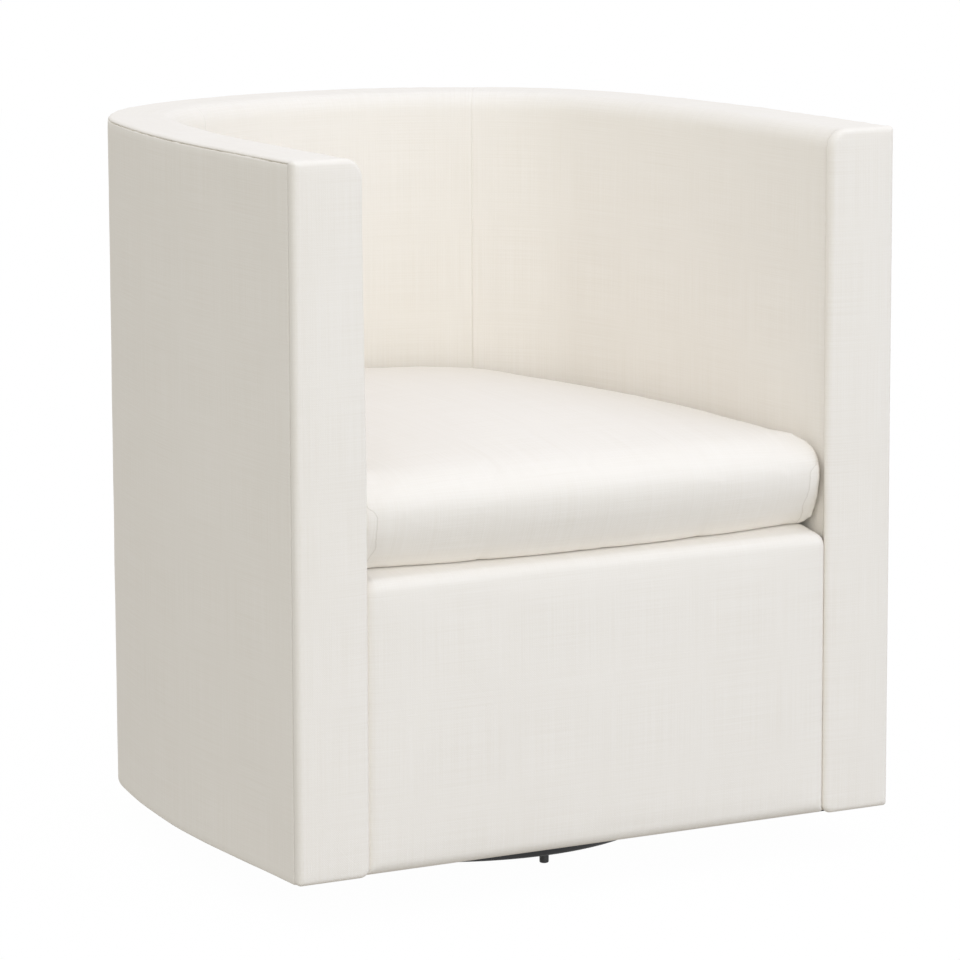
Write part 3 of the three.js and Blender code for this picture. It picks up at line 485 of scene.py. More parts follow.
def joinPieces(piece, *others):
    chosen = [piece, *others]
    with bpy.context.temp_override(
            active_object=piece, object=piece, selected_editable_objects=chosen, selected_objects=chosen):
        bpy.ops.object.join()


def smoothStep(low, high, value):
    share = min(1.0, max(0.0, (value - low) / (high - low)))
    return share * share * (3 - 2 * share)


def roll(distance, reach, depth):
    if distance >= reach:
        return 0.0
    share = 1 - distance / reach
    return depth * (1 - math.sqrt(max(0.0, 1 - share * share)))


# A closed pad swept along the wall. The section gives its points as (inset, z, toward inset,
# toward z, length along the cloth or None at its hidden back).
def sweptPad(name, lengths, section, clothInset, shape=None):
    points, uvs, faces = [], [], []
    run = 0.0
    previous = wallPoint(stationAt(lengths[0]), clothInset, 0)
    rows = len(section)
    for length in lengths:
        station = stationAt(length)
        here = wallPoint(station, clothInset, 0)
        run += (here - previous).length
        previous = here
        for inset, z, leanInset, leanZ, clothLength in section:
            shown = clothLength is not None
            move = shape(length, inset, z, clothLength) if shape and shown else 0.0
            points.append(wallPoint(station, inset + leanInset * move, z + leanZ * move))
            uvs.append((run, clothLength if shown else z))
    for column in range(len(lengths) - 1):
        first, second = column * rows, (column + 1) * rows
        for row in range(rows):
            after = (row + 1) % rows
            faces.append((first + row, first + after, second + after, second + row))
    faces.append(tuple(range(rows)))
    faces.append(tuple(range(len(points) - rows, len(points))))
    return makeMesh(name, points, faces, uvs)


upholstery = {
    "rowStep": 0.006,
    "columnStep": 0.005,
    "seamSteps": (0.0, 0.0006, 0.0014, 0.0025, 0.004, 0.006, 0.009, 0.013),
    "insideBulge": 0.0025,
    "bulgeReach": 0.05,
    "bulgeInset": 0.05,
    "seamReach": 0.0035,
    "seamDepth": 0.0011,
    "seamTopDepth": 0.0004,
    "seamFadeRise": 0.04,
    "outsideSeamDepth": 0.0016,
    "outsideLimit": 0.0004,
    "topSteps": 9,
    "topFlatEnd": 0.005,
    "topEdgeInset": 0.0006,
    "topEdgeDrop": 0.0030,
    "topEdgeLength": 0.0045,
    "topEdgeSteps": 5,
    "tuckInset": 0.0022,
    "tuckDrop": 0.0006,
    "boardDrop": 0.0065,
    "pucker": 0.0007,
    "puckerReach": 0.012,
    "puckerScale": 65,
    "ripple": 0.0005,
    "insideRippleScale": 22,
    "outsideRippleScale": 14,
    "foamInset": 0.0355,
    "boardInset": 0.0061,
    "frameTop": 0.7619,
    "frameGap": 0.0003,
    "outsideTop": 0.7747,
    "outsideBack": 0.0058,
    "outsideEdge": 0.002,
    "outsideEdgeSteps": 3,
    "returnWidth": 0.020,
    "coverThickness": 0.0015,
    "stripLow": 0.0468,
    "stripGap": 0.0002,
    "stripWidth": 0.0150,
    "stripStep": 0.005,
}


def quarterTurns(steps):
    return [math.pi / 2 * step / steps for step in range(1, steps + 1)]


# The hidden back of a section: points that carry no cloth
def hiddenRows(*places):
    return [(inset, z, 0.0, 0.0, None) for inset, z in places]


def insideSection(values):
    height, thick, bend = wall["height"], wall["thickness"], wall["innerRound"]
    low, straightTop = wall["insideBottom"], height - bend
    rows = [(thick, z, 1.0, 0.0, z - low) for z in spaced(low, straightTop, values["rowStep"])]
    length = straightTop - low
    for angle in quarterTurns(values["topSteps"]):
        inset, z = thick - bend + bend * math.cos(angle), straightTop + bend * math.sin(angle)
        rows.append((inset, z, math.cos(angle), math.sin(angle), length + bend * angle))
    length += bend * math.pi / 2
    flatEnd = values["topFlatEnd"]
    for inset in spaced(thick - bend, flatEnd, values["rowStep"])[1:]:
        rows.append((inset, height, 0.0, 1.0, length + thick - bend - inset))
    length += thick - bend - flatEnd
    edge = values["topEdgeDrop"]
    for angle in quarterTurns(values["topEdgeSteps"]):
        inset = flatEnd - (flatEnd - values["topEdgeInset"]) * math.sin(angle)
        z = height - edge + edge * math.cos(angle)
        rows.append((inset, z, -math.sin(angle), math.cos(angle), length + values["topEdgeLength"] * angle))
    frameTop = values["frameTop"] + values["frameGap"]
    return rows + hiddenRows(
        (values["tuckInset"], height - edge - values["tuckDrop"]), (values["boardInset"], height - values["boardDrop"]),
        (values["boardInset"], frameTop), (values["foamInset"], frameTop), (values["foamInset"], low))


def ripple(point, size, scale):
    return size * noise.noise(point * scale)


def insideShape(values, start, end):
    def shape(length, inset, z, clothLength):
        distance = min(length - start, end - length)
        low, high = wall["insideBottom"] + values["seamFadeRise"], wall["height"] - wall["innerRound"]
        share = min(1.0, max(0.0, (z - low) / (high - low)))
        depth = values["seamDepth"] + (values["seamTopDepth"] - values["seamDepth"]) * share
        move = -roll(distance, values["seamReach"], depth)
        move += ripple(Vector((length, clothLength, 0.3)), values["ripple"], values["insideRippleScale"])
        if inset > values["bulgeInset"]:
            across = min(1.0, distance / values["bulgeReach"])
            move += values["insideBulge"] * math.sin(math.pi * share) * across
        if inset < values["puckerReach"]:
            seam = 1 - max(0.0, inset) / values["puckerReach"]
            gather = noise.noise(Vector((length * values["puckerScale"], 0, 7)))
            move -= values["pucker"] * seam * (0.6 + gather)
        return move
    return shape


def outsideSection(values):
    bottom, top, back, edge = wall["bottom"], values["outsideTop"], values["outsideBack"], values["outsideEdge"]
    width, folded = values["returnWidth"], bottom + values["coverThickness"]
    rows = [(inset, bottom, 0.0, -1.0, width - inset) for inset in spaced(width, edge, values["rowStep"])]
    length = width - edge
    for angle in quarterTurns(values["outsideEdgeSteps"]):
        inset, z = edge - edge * math.sin(angle), bottom + edge - edge * math.cos(angle)
        rows.append((inset, z, -math.sin(angle), -math.cos(angle), length + edge * angle))
    length += edge * math.pi / 2
    for z in spaced(bottom + edge, top - edge, values["rowStep"])[1:]:
        rows.append((0.0, z, -1.0, 0.0, length + z - bottom - edge))
    length += top - bottom - 2 * edge
    for angle in quarterTurns(values["outsideEdgeSteps"]):
        inset, z = edge - edge * math.cos(angle), top - edge + edge * math.sin(angle)
        rows.append((inset, z, -math.cos(angle), math.sin(angle), length + edge * angle))
    return rows + hiddenRows((back, top), (back, folded), (width, folded))


def outsideShape(values, start, end):
    def shape(length, inset, z, clothLength):
        distance = min(length - start, end - length)
        move = -roll(distance, values["seamReach"], values["outsideSeamDepth"])
        move += ripple(Vector((length, clothLength, 2.3)), values["ripple"], values["outsideRippleScale"])
        near = max(0.0, 1 - (values["outsideTop"] - z) / values["puckerReach"])
        move -= values["pucker"] * near * (0.5 + noise.noise(Vector((length * values["puckerScale"], 3, 7))))
        return min(move, values["outsideLimit"])
    return shape


# The three pads on one side of the wall: the back's between its seams, and one along each arm
def addPads(values, side, section, makeShape, seam, clothInset, nodes):
    for name, sign, start, end in (("back", 1, -seam, seam), ("left", -1, seam, armEnd), ("right", 1, seam, armEnd)):
        lengths = [sign * length for length in seamSpaced(start, end, values)]
        shape = makeShape(values, min(lengths), max(lengths))
        pieceName = f"{side}BackPad" if name == "back" else f"{side}ArmPad.{name}"
        pad = sweptPad(pieceName, lengths, section, clothInset, shape)
        if side == "inside" and name != "back":
            addStrip(values, pad, sign)
        finishPiece(pad, "chair", "ivory_fabric", nodes[name], ivoryLinen)


# The strip of cloth that goes on down behind an arm's front
def addStrip(values, arm, sign):
    near, far = wall["thickness"] - values["coverThickness"], wall["thickness"]
    low, high = values["stripLow"], wall["insideBottom"] - values["stripGap"]
    strip = [(inset, z, 0.0, 0.0, z) for inset, z in ((near, low), (far, low), (far, high), (near, high))]
    places = spaced(sign * (armEnd - values["stripWidth"]), sign * armEnd, values["stripStep"])
    joinPieces(arm, sweptPad("armStrip", places, strip, wall["thickness"]))


addPads(upholstery, "inside", insideSection(upholstery), insideShape, insideSeam, wall["thickness"], {
    "back": ["inside_back_cover", "inside_back_foam"],
    "left": ["inside_arm_cover_left", "inside_arm_foam_left"],
    "right": ["inside_arm_cover_right", "inside_arm_foam_right"],
})
addPads(upholstery, "outside", outsideSection(upholstery), outsideShape, outsideSeam, 0.0, {
    "back": ["outside_back_cover", "outside_padding"],
    "left": ["outside_arm_cover_left"],
    "right": ["outside_arm_cover_right"],
})
print("stage: walls upholstered")


# Outline of an upright front, each point with its place after an inset from the edge
def uprightOutline(face, inset):
    left, right, bottom, top = face["left"], face["right"], face["bottom"], face["top"]
    corners = [(left, bottom, 1, 1, 2), (right, bottom, -1, 1, 3), (right, top, -1, -1, 0), (left, top, 1, -1, 1)]

    def cornerPoint(index, quarters):
        x, z, toX, toZ, _ = corners[index]
        radius = max(face["radii"][index] - inset, face["leastRadius"])
        angle = math.pi / 2 * quarters
        shift = inset + radius
        return x + toX * shift + radius * math.cos(angle), z + toZ * shift + radius * math.sin(angle)

    outline = []
    for index, (x, z, _, _, quarter) in enumerate(corners):
        steps = face["cornerSteps"]
        outline += [cornerPoint(index, quarter + part / steps) for part in range(steps + 1)]
        after = (index + 1) % len(corners)
        start, end = outline[-1], cornerPoint(after, quarter + 1)
        full = math.dist((x, z), corners[after][:2])
        for share in spaced(0.0, 1.0, face["step"] / full)[1:-1]:
            outline.append((start[0] + (end[0] - start[0]) * share, start[1] + (end[1] - start[1]) * share))
    return outline


# A padded upright front: flat back, rim, rounded edge and bowed face in closing rings
def paddedFront(name, face):
    edge, faceY, backY = face["edge"], face["faceY"], face["faceY"] + face["backDepth"]
    tucked = uprightOutline(face, face["tuck"])
    rings, uvs = [[(x, backY, z) for x, z in tucked]], [tucked]
    outline = uprightOutline(face, 0.0)
    for share in spaced(1.0, 0.0, 1.0 / face["rimRings"])[:-1]:
        depths = [edge + (face["rim"](z) - edge) * share for x, z in outline]
        rings.append([(x, faceY + depth, z) for (x, z), depth in zip(outline, depths)])
        uvs.append([(x, z + depth) for (x, z), depth in zip(outline, depths)])
    for step in range(face["edgeSteps"] + 1):
        angle = math.pi / 2 * step / face["edgeSteps"]
        inset = edge - edge * math.cos(angle)
        y = faceY + edge - edge * math.sin(angle)
        rings.append([(x, y, z) for x, z in uprightOutline(face, inset)])
        uvs.append(uprightOutline(face, edge - edge * (math.pi / 2 - angle)))
    halfX, halfZ = (face["right"] - face["left"]) / 2, (face["top"] - face["bottom"]) / 2
    midX, midZ = (face["right"] + face["left"]) / 2, (face["top"] + face["bottom"]) / 2
    reach = min(halfX, halfZ) - edge
    for depth in spaced(0.0, reach - face["coreGap"], face["ringStep"])[1:]:
        outline = uprightOutline(face, edge + depth)
        ring = []
        for x, z in outline:
            acrossX = max(0.0, 1 - ((x - midX) / (halfX - edge)) ** 2)
            acrossZ = max(0.0, 1 - ((z - midZ) / (halfZ - edge)) ** 2)
            swell = face["bow"] * math.sqrt(acrossX * acrossZ)
            wave = ripple(Vector((x, 0.7, z)), face["ripple"], face["rippleScale"])
            swell -= wave * min(1.0, depth / face["rippleFrom"])
            ring.append((x, faceY - swell, z))
        rings.append(ring)
        uvs.append(outline)
    count = len(rings[0])
    points = [point for ring in rings for point in ring]
    places = [place for ring in uvs for place in ring]
    faces = ringFaces(len(rings), count)
    faces.append(tuple(range(count)))
    return makeMesh(name, points, faces, places, weld=face["weld"])


def ringFaces(rings, count):
    faces = []
    for ring in range(rings - 1):
        for index in range(count):
            first, after = ring * count + index, ring * count + (index + 1) % count
            faces.append((first, after, after + count, first + count))
    return faces


frontMesh = {
    "step": 0.005,
    "leastRadius": 0.0002,
    "coreGap": 0.0001,
    "rippleScale": 14,
    "rippleFrom": 0.02,
    "weld": 0.0005,
}
armFront = {
    "edge": 0.0065,
    "bow": 0.003,
    "overhang": 0.0018,
    "swell": 0.0028,
    "swellFrom": 0.72,
    "swellFull": 0.43,
    "swellReach": 0.022,
    "swellFaceDepth": 0.004,
    "swellBackDepth": 0.012,
    "rimDepth": 0.012,
    "backDepth": 0.0118,
    "tuck": 0.0004,
    "outerRadius": 0.004,
    "bottomRadius": 0.010,
    "cornerSteps": 6,
    "edgeSteps": 6,
    "rimRings": 2,
    "ringStep": 0.006,
    "ripple": 0.0006,
}
frontPanel = {
    "edge": 0.0150,
    "bow": 0.004,
    "setback": 0.001,
    "top": 0.356,
    "gap": 0.0005,
    "cornerRadius": 0.016,
    "lowerRadius": 0.004,
    "lipDepth": 0.080,
    "droop": 0.0050,
    "droopFrom": -0.300,
    "droopFull": -0.338,
    "droopLow": 0.290,
    "droopHigh": 0.338,
    "sideDepth": 0.0165,
    "backDepth": 0.011,
    "tuck": 0.0028,
    "cornerSteps": 7,
    "edgeSteps": 8,
    "rimRings": 8,
    "ringStep": 0.008,
    "ripple": 0.0007,
}


# How far the lip of the front panel leans down towards its face
def lipDroop(y):
    return frontPanel["droop"] * (1 - smoothStep(frontPanel["droopFull"], frontPanel["droopFrom"], y))


def addFronts(arm, panel):
    inner = wall["halfWidth"] - wall["thickness"]
    for side, sign in (("left", -1), ("right", 1)):
        edges = sorted((sign * (inner - arm["overhang"]), sign * wall["halfWidth"]))
        lower = [arm["outerRadius"], arm["bottomRadius"]]
        upper = [wall["innerRound"], arm["outerRadius"]]
        radii = lower + upper if sign < 0 else lower[::-1] + upper[::-1]
        face = dict(frontMesh, **arm, left=edges[0], right=edges[1], bottom=wall["bottom"], top=wall["height"],
                    radii=radii, faceY=wall["frontY"], rim=lambda z: arm["rimDepth"])
        piece = paddedFront(f"armFrontPad.{side}", face)
        for vertex in piece.data.vertices:
            x, y, z = vertex.co
            near = 1 - smoothStep(0.0, arm["swellReach"], abs(x) - inner)
            deep = 1 - smoothStep(arm["swellFaceDepth"], arm["swellBackDepth"], y - wall["frontY"])
            vertex.co.x -= sign * arm["swell"] * near * deep * (1 - smoothStep(arm["swellFull"], arm["swellFrom"], z))
        nodes = [f"arm_front_cover_{side}", f"arm_front_foam_{side}"]
        finishPiece(piece, "chair", "ivory_fabric", nodes, ivoryLinen)
    half = inner - panel["gap"]
    rounding = panel["top"] - panel["cornerRadius"] / 2

    def rim(z):
        return (panel["lipDepth"] if z > rounding else panel["sideDepth"]) - panel["setback"]

    radii = [panel["lowerRadius"]] * 2 + [panel["cornerRadius"]] * 2
    face = dict(frontMesh, **panel, left=-half, right=half, bottom=wall["bottom"], radii=radii,
                faceY=wall["frontY"] + panel["setback"], rim=rim)
    piece = paddedFront("frontPanelPad", face)
    for vertex in piece.data.vertices:
        vertex.co.z -= lipDroop(vertex.co.y) * smoothStep(panel["droopLow"], panel["droopHigh"], vertex.co.z)
    nodes = ["front_cover", "front_foam", "front_edge_roll"]
    finishPiece(piece, "chair", "ivory_fabric", nodes, ivoryLinen)


addFronts(armFront, frontPanel)
print("stage: fronts upholstered")

# The loose cushion: its case is drawn in levels, then blown up by a cloth simulation

cushionShape = {
    "gap": 0.0008,
    "front": -0.342,
    "frontSteps": 44,
    "bow": 0.0115,
    "bottom": 0.3563,
    # Each level's corner radius, side height, side inset, front height, front inset and share of the back's inset
    "levels": (
        (0.020, 0.0000, 0.0140, 0.0000, 0.0320, 0.20),
        (0.017, 0.0010, 0.0075, 0.0008, 0.0288, 1.00),
        (0.014, 0.0035, 0.0030, 0.0060, 0.0228, 1.00),
        (0.011, 0.0080, 0.0008, 0.0130, 0.0162, 1.00),
        (0.009, 0.0140, 0.0000, 0.0210, 0.0107, 1.00),
        (0.007, 0.0240, 0.0000, 0.0300, 0.0062, 1.00),
        (0.006, 0.0360, 0.0000, 0.0390, 0.0029, 1.00),
        (0.006, 0.0480, 0.0000, 0.0480, 0.0009, 1.00),
        (0.006, 0.0600, 0.0000, 0.0570, 0.0000, 0.85),
        (0.006, 0.0700, 0.0000, 0.0650, 0.0010, 0.60),
        (0.008, 0.0780, 0.0003, 0.0720, 0.0040, 0.30),
        (0.011, 0.0845, 0.0018, 0.0785, 0.0090, 0.15),
        (0.016, 0.0895, 0.0050, 0.0840, 0.0160, 0.05),
        (0.023, 0.0925, 0.0100, 0.0885, 0.0255, 0.00),
        (0.032, 0.0945, 0.0165, 0.0920, 0.0380, 0.00),
    ),
    "sideStep": 0.006,
    "cornerSteps": 8,
    "cornerFlare": 0.55,
    "backInset": 0.006,
    "backInsetEnds": (0.38, 0.56),
    "lift": 0.016,
    "liftTurn": math.radians(62),
    "liftFrom": 8,
    "middleY": -0.02,
    "crownReachX": 0.30,
    "crownLowY": -0.36,
    "crownHighY": 0.30,
    "crownSpread": 0.0737,
    "crownHaste": 1.93,
    "crownRings": 24,
    "crownLoad": 0.0205,
    "crownCell": 0.006,
    "crownPasses": 400,
    "seamLevel": 12,
    "seamTurnLevel": 8,
    "seamTurnSteps": 12,
    "seamColumn": 2,
    "seamSearch": 6,
    "seamRiseBend": 0.8,
    "seamRunBend": 1.5,
    "edgeDrop": 0.0028,
    "edgeDropReach": 0.012,
    "noseReach": 0.030,
    "noseShare": 0.64,
    "voxel": 0.005,
    "smoothing": (0.5, 4),
    "pressure": 4.0,
    "cloth": {
        "tension_stiffness": 15, "compression_stiffness": 15, "shear_stiffness": 5, "bending_stiffness": 0.5,
        "mass": 0.3},
    "frames": 20,
    "cap": 0.004,
    "seamDepth": 0.0022,
    "seamReach": 0.007,
    "seamBend": 1.2,
    "seamStep": 0.0015,
    "seamNear": 0.02,
    "seamFar": 0.03,
    "pucker": 0.0006,
    "puckerReach": 0.012,
    "puckerScale": 55,
    "cornerDepth": 0.25,
    "cornerFade": (-0.31, -0.25),
    "zipTurn": math.radians(26.3),
    "zipMiddle": 0.3758,
    "zipHalf": 0.0062,
    "zipInset": 0.0089,
    "zipGap": 0.0030,
    "zipFade": 0.005,
    "zipTurnFade": 0.05,
    "zipFromY": 0.1,
}


# Lengths along the wall where the cushion's levels have their points, from the back's middle
def sideLengths(values):
    frontEnd = planSide + wall["sideY"] - values["front"] - max(level[0] for level in values["levels"])
    return spaced(0.0, frontEnd, values["sideStep"])


# One level of the cushion: around the wall, the right corner, the front and the left corner
def cushionLevel(values, level):
    inset = wall["thickness"] + values["gap"]
    half = wall["halfWidth"] - inset
    bottom = values["bottom"]
    radius, sideUp, sideIn, frontUp, frontIn, backShare = values["levels"][level]
    liftShare = (level - values["liftFrom"]) / (len(values["levels"]) - 1 - values["liftFrom"])
    right = []
    for length in sideLengths(values):
        station = stationAt(length)
        back = 1 - smoothStep(*values["backInsetEnds"], length)
        swell = values["backInset"] * backShare * back
        fade = max(0.0, 1 - (station[2] / values["liftTurn"]) ** 2)
        raised = values["lift"] * fade * max(0.0, liftShare)
        right.append(wallPoint(station, inset + sideIn + swell, bottom + sideUp + raised))
    for angle in quarterTurns(values["cornerSteps"]):
        blend = smoothStep(0.0, 1.0, angle / (math.pi / 2))
        x = half - sideIn - radius + radius * math.cos(angle)
        y = values["front"] + frontIn + radius - radius * math.sin(angle)
        y += min(0.0, sideIn - frontIn) * values["cornerFlare"] * (1 - blend)
        right.append(Vector((x, y, bottom + sideUp + (frontUp - sideUp) * blend)))
    reach = half - sideIn - radius
    for step in range(1, values["frontSteps"] + 1):
        share = 1 - step / values["frontSteps"]
        x = reach * share
        y = values["front"] + frontIn - values["bow"] * (1 - share * share)
        right.append(Vector((x, y, bottom + frontUp)))
    left = [Vector((-point.x, point.y, point.z)) for point in reversed(right[1:-1])]
    return right + left


def nearestTree(points):
    tree = KDTree(len(points))
    for index, point in enumerate(points):
        tree.insert(point, index)
    tree.balance()
    return tree


# Height of the crown over a level grid: a membrane held at the edge and pushed up evenly
def crownField(values, edge):
    cell, reachX, lowY, highY = (values[key] for key in ("crownCell", "crownReachX", "crownLowY", "crownHighY"))
    columns, rows = round(2 * reachX / cell) + 1, round((highY - lowY) / cell) + 1
    tree = nearestTree([(point.x, point.y, 0) for point in edge])
    field = numpy.zeros((rows, columns))
    inside = numpy.zeros((rows, columns), dtype=bool)
    outline = [(point.x, point.y) for point in edge]
    for row in range(rows):
        y = lowY + row * cell
        crossings = []
        for (x0, y0), (x1, y1) in zip(outline, outline[1:] + outline[:1]):
            if (y0 > y) != (y1 > y):
                crossings.append(x0 + (y - y0) * (x1 - x0) / (y1 - y0))
        crossings.sort()
        for column in range(columns):
            x = -reachX + column * cell
            inside[row, column] = any(a < x < b for a, b in zip(crossings[::2], crossings[1::2]))
            field[row, column] = edge[tree.find((x, y, 0))[1]].z
    load = values["crownLoad"] * cell * cell / values["crownSpread"]
    parity = numpy.add.outer(numpy.arange(rows), numpy.arange(columns)) % 2
    turns = [inside & (parity == 0), inside & (parity == 1)]
    for _ in range(values["crownPasses"]):
        for turn in turns:
            around = numpy.roll(field, 1, 0) + numpy.roll(field, -1, 0)
            around += numpy.roll(field, 1, 1) + numpy.roll(field, -1, 1)
            field = numpy.where(turn, field + values["crownHaste"] * (around / 4 + load - field), field)

    def height(x, y):
        u, v = (x + reachX) / cell, (y - lowY) / cell
        column, row = min(int(u), columns - 2), min(int(v), rows - 2)
        u, v = u - column, v - row
        near = field[row, column] * (1 - u) + field[row, column + 1] * u
        far = field[row + 1, column] * (1 - u) + field[row + 1, column + 1] * u
        return near * (1 - v) + far * v

    return height


def cushionRings(values):
    levels = [cushionLevel(values, level) for level in range(len(values["levels"]))]
    height = crownField(values, levels[-1])
    middle, bottom = Vector((0.0, values["middleY"], 0.0)), values["bottom"]
    upper, under = [], []
    for share in spaced(0.0, 1.0, 1.0 / values["crownRings"])[1:-1]:
        for made, edge, rise in ((upper, levels[-1], height), (under, levels[0], lambda x, y: bottom)):
            ring = []
            for point in edge:
                x, y = point.x + (middle.x - point.x) * share, point.y + (middle.y - point.y) * share
                ring.append(Vector((x, y, rise(x, y))))
            made.append(ring)
    center = Vector((middle.x, middle.y, height(middle.x, middle.y)))
    print(f"stage: crown is {(center.z - bottom) * 1000:.1f} mm high")
    return under[::-1] + levels + upper, center


def cushionBase(values):
    rings, center = cushionRings(values)
    count = len(rings[0])
    points = [point for ring in rings for point in ring]
    faces = ringFaces(len(rings), count)
    points.append(Vector((center.x, center.y, values["bottom"])))
    points.append(center)
    last = (len(rings) - 1) * count
    for index in range(count):
        after = (index + 1) % count
        faces.append((len(points) - 2, after, index))
        faces.append((len(points) - 1, last + index, last + after))
    return makeMesh("seatCushion", points, faces)


# The seams of the case: between its side band and its top, up the front corner and back along
# the side, and the hem around its lowest level
def cushionSeams(values):
    levels = [cushionLevel(values, level) for level in range(len(values["levels"]))]
    sideEnd = len(sideLengths(values)) - 1
    top, turnLevel, turnSteps = values["seamLevel"], values["seamTurnLevel"], values["seamTurnSteps"]
    start = sideEnd + values["cornerSteps"] + values["seamColumn"]
    across = levels[turnLevel][start].x
    rise = [min(level[sideEnd:start + values["seamSearch"]], key=lambda point: abs(point.x - across))
            for level in levels[:turnLevel + 1]]
    turning = []
    for step in range(1, turnSteps + 1):
        share = step / turnSteps
        level = turnLevel + (top - turnLevel) * share ** values["seamRiseBend"]
        column = start - turnSteps * share ** values["seamRunBend"]
        low, high = int(level), min(int(level) + 1, top)
        near, far = int(column), int(column) + 1
        mixed = [levels[row][near].lerp(levels[row][far], column - near) for row in (low, high)]
        turning.append(mixed[0].lerp(mixed[1], level - low))
    along = levels[top][start - turnSteps - 1::-1]
    right = rise + turning + along
    left = [Vector((-point.x, point.y, point.z)) for point in reversed(right[:-1])]
    return [right + left, levels[0] + levels[0][:1]]


def bakeModifiers(piece):
    graph = bpy.context.evaluated_depsgraph_get()
    result = bpy.data.meshes.new_from_object(piece.evaluated_get(graph))
    piece.modifiers.clear()
    old = piece.data
    piece.data = result
    bpy.data.meshes.remove(old)


def densePath(path, step):
    dense = []
    for first, second in zip(path, path[1:]):
        count = max(1, round((second - first).length / step))
        dense += [first.lerp(second, index / count) for index in range(count)]
    return dense + [path[-1]]


def inflate(piece, values):
    start = [vertex.co.copy() for vertex in piece.data.vertices]
    cloth = piece.modifiers.new("blown", "CLOTH")
    cloth.settings.use_pressure = True
    cloth.settings.uniform_pressure_force = values["pressure"]
    for key, value in values["cloth"].items():
        setattr(cloth.settings, key, value)
    cloth.settings.effector_weights.gravity = 0
    cloth.collision_settings.use_collision = False
    cloth.point_cache.frame_start = 1
    cloth.point_cache.frame_end = values["frames"]
    for number in range(1, values["frames"] + 1):
        scene.frame_set(number)
    bakeModifiers(piece)
    scene.frame_set(1)
    moved = 0.0
    for vertex, place in zip(piece.data.vertices, start):
        shift = vertex.co - place
        moved = max(moved, shift.length)
        if shift.length > values["cap"]:
            vertex.co = place + shift * (values["cap"] / shift.length)
    print(f"stage: cushion blown up, largest move {moved * 1000:.1f} mm")


def sewCushion(piece, values):
    paths = [densePath(path, values["seamStep"]) for path in cushionSeams(values)]
    trees = [nearestTree(path) for path in paths]
    mesh = piece.data
    normals = [vertex.normal.copy() for vertex in mesh.vertices]
    signed = []
    for vertex, normal in zip(mesh.vertices, normals):
        best = 1.0
        for path, tree in zip(paths, trees):
            near, index, distance = tree.find(vertex.co)
            ahead = path[min(index + 1, len(path) - 1)] - path[max(index - 1, 0)]
            off = vertex.co - near
            side = off.dot(ahead.cross(normal).normalized())
            off -= off.dot(normal) * normal
            if off.length < abs(best) and distance < values["seamNear"]:
                best = math.copysign(off.length, side)
        signed.append(best)
    for vertex, normal, best in zip(mesh.vertices, normals, signed):
        away = abs(best)
        if away < values["seamFar"]:
            pull = math.exp(-(away / values["seamReach"]) ** values["seamBend"]) * values["seamDepth"]
            gather = ripple(vertex.co, values["pucker"], values["puckerScale"])
            pucker = math.exp(-(away / values["puckerReach"]) ** 2) * gather
            corner = smoothStep(*values["cornerFade"], vertex.co.y)
            corner = values["cornerDepth"] + (1 - values["cornerDepth"]) * corner
            vertex.co -= normal * (pull + pucker) * corner
    layer = mesh.attributes.new("seamDistance", "FLOAT", "POINT")
    layer.data.foreach_set("value", signed)


# Lets the cushion down over the deck's front edge and hollows it behind the zip
def settleCushion(piece, values):
    centerY, radius = planArcs[0][1], planArcs[0][2]
    for vertex in piece.data.vertices:
        point = vertex.co
        rise = point.z - values["bottom"]
        droop = values["noseShare"] * lipDroop(point.y)
        point.z -= values["edgeDrop"] * (1 - smoothStep(0.0, values["edgeDropReach"], rise))
        point.z -= droop * (1 - smoothStep(0.0, values["noseReach"], rise))
        point.z = max(point.z, values["bottom"] - droop)
        if point.y > values["zipFromY"]:
            turn = math.atan2(point.x, point.y - centerY)
            half, end = values["zipHalf"], values["zipTurn"]
            near = 1 - smoothStep(half, half + values["zipFade"], abs(point.z - values["zipMiddle"]))
            near *= 1 - smoothStep(end, end + values["zipTurnFade"], abs(turn))
            inset = values["zipGap"] + (values["zipInset"] - values["zipGap"]) * near
            limit = radius - wall["thickness"] - inset
            distance = math.hypot(point.x, point.y - centerY)
            if near > 0 and distance > limit:
                point.x *= limit / distance
                point.y = centerY + (point.y - centerY) * limit / distance


def addCushion(values):
    piece = cushionBase(values)
    remesh = piece.modifiers.new("remesh", "REMESH")
    remesh.mode = "VOXEL"
    remesh.voxel_size = values["voxel"]
    remesh.adaptivity = 0
    bakeModifiers(piece)
    smooth = piece.modifiers.new("smooth", "SMOOTH")
    smooth.factor, smooth.iterations = values["smoothing"]
    bakeModifiers(piece)
    inflate(piece, values)
    finer = piece.modifiers.new("finer", "SUBSURF")
    finer.levels = finer.render_levels = 1
    bakeModifiers(piece)
    sewCushion(piece, values)
    settleCushion(piece, values)
    for polygon in piece.data.polygons:
        polygon.use_smooth = True
    finishPiece(piece, "cushion", "ivory_fabric", ["cushion_cover", "cushion_core"], cushionLinen)
    print(f"stage: cushion has {len(piece.data.polygons)} faces")


addCushion(cushionShape)
print("stage: cushion made")

# Finishes of the frame, the seat and the swivel

wear = {
    "raised": 0.505,
    "edgeGain": 9.0,
    "spotScale": 90.0,
    "spotLimit": 0.42,
    "gain": 7.0,
}


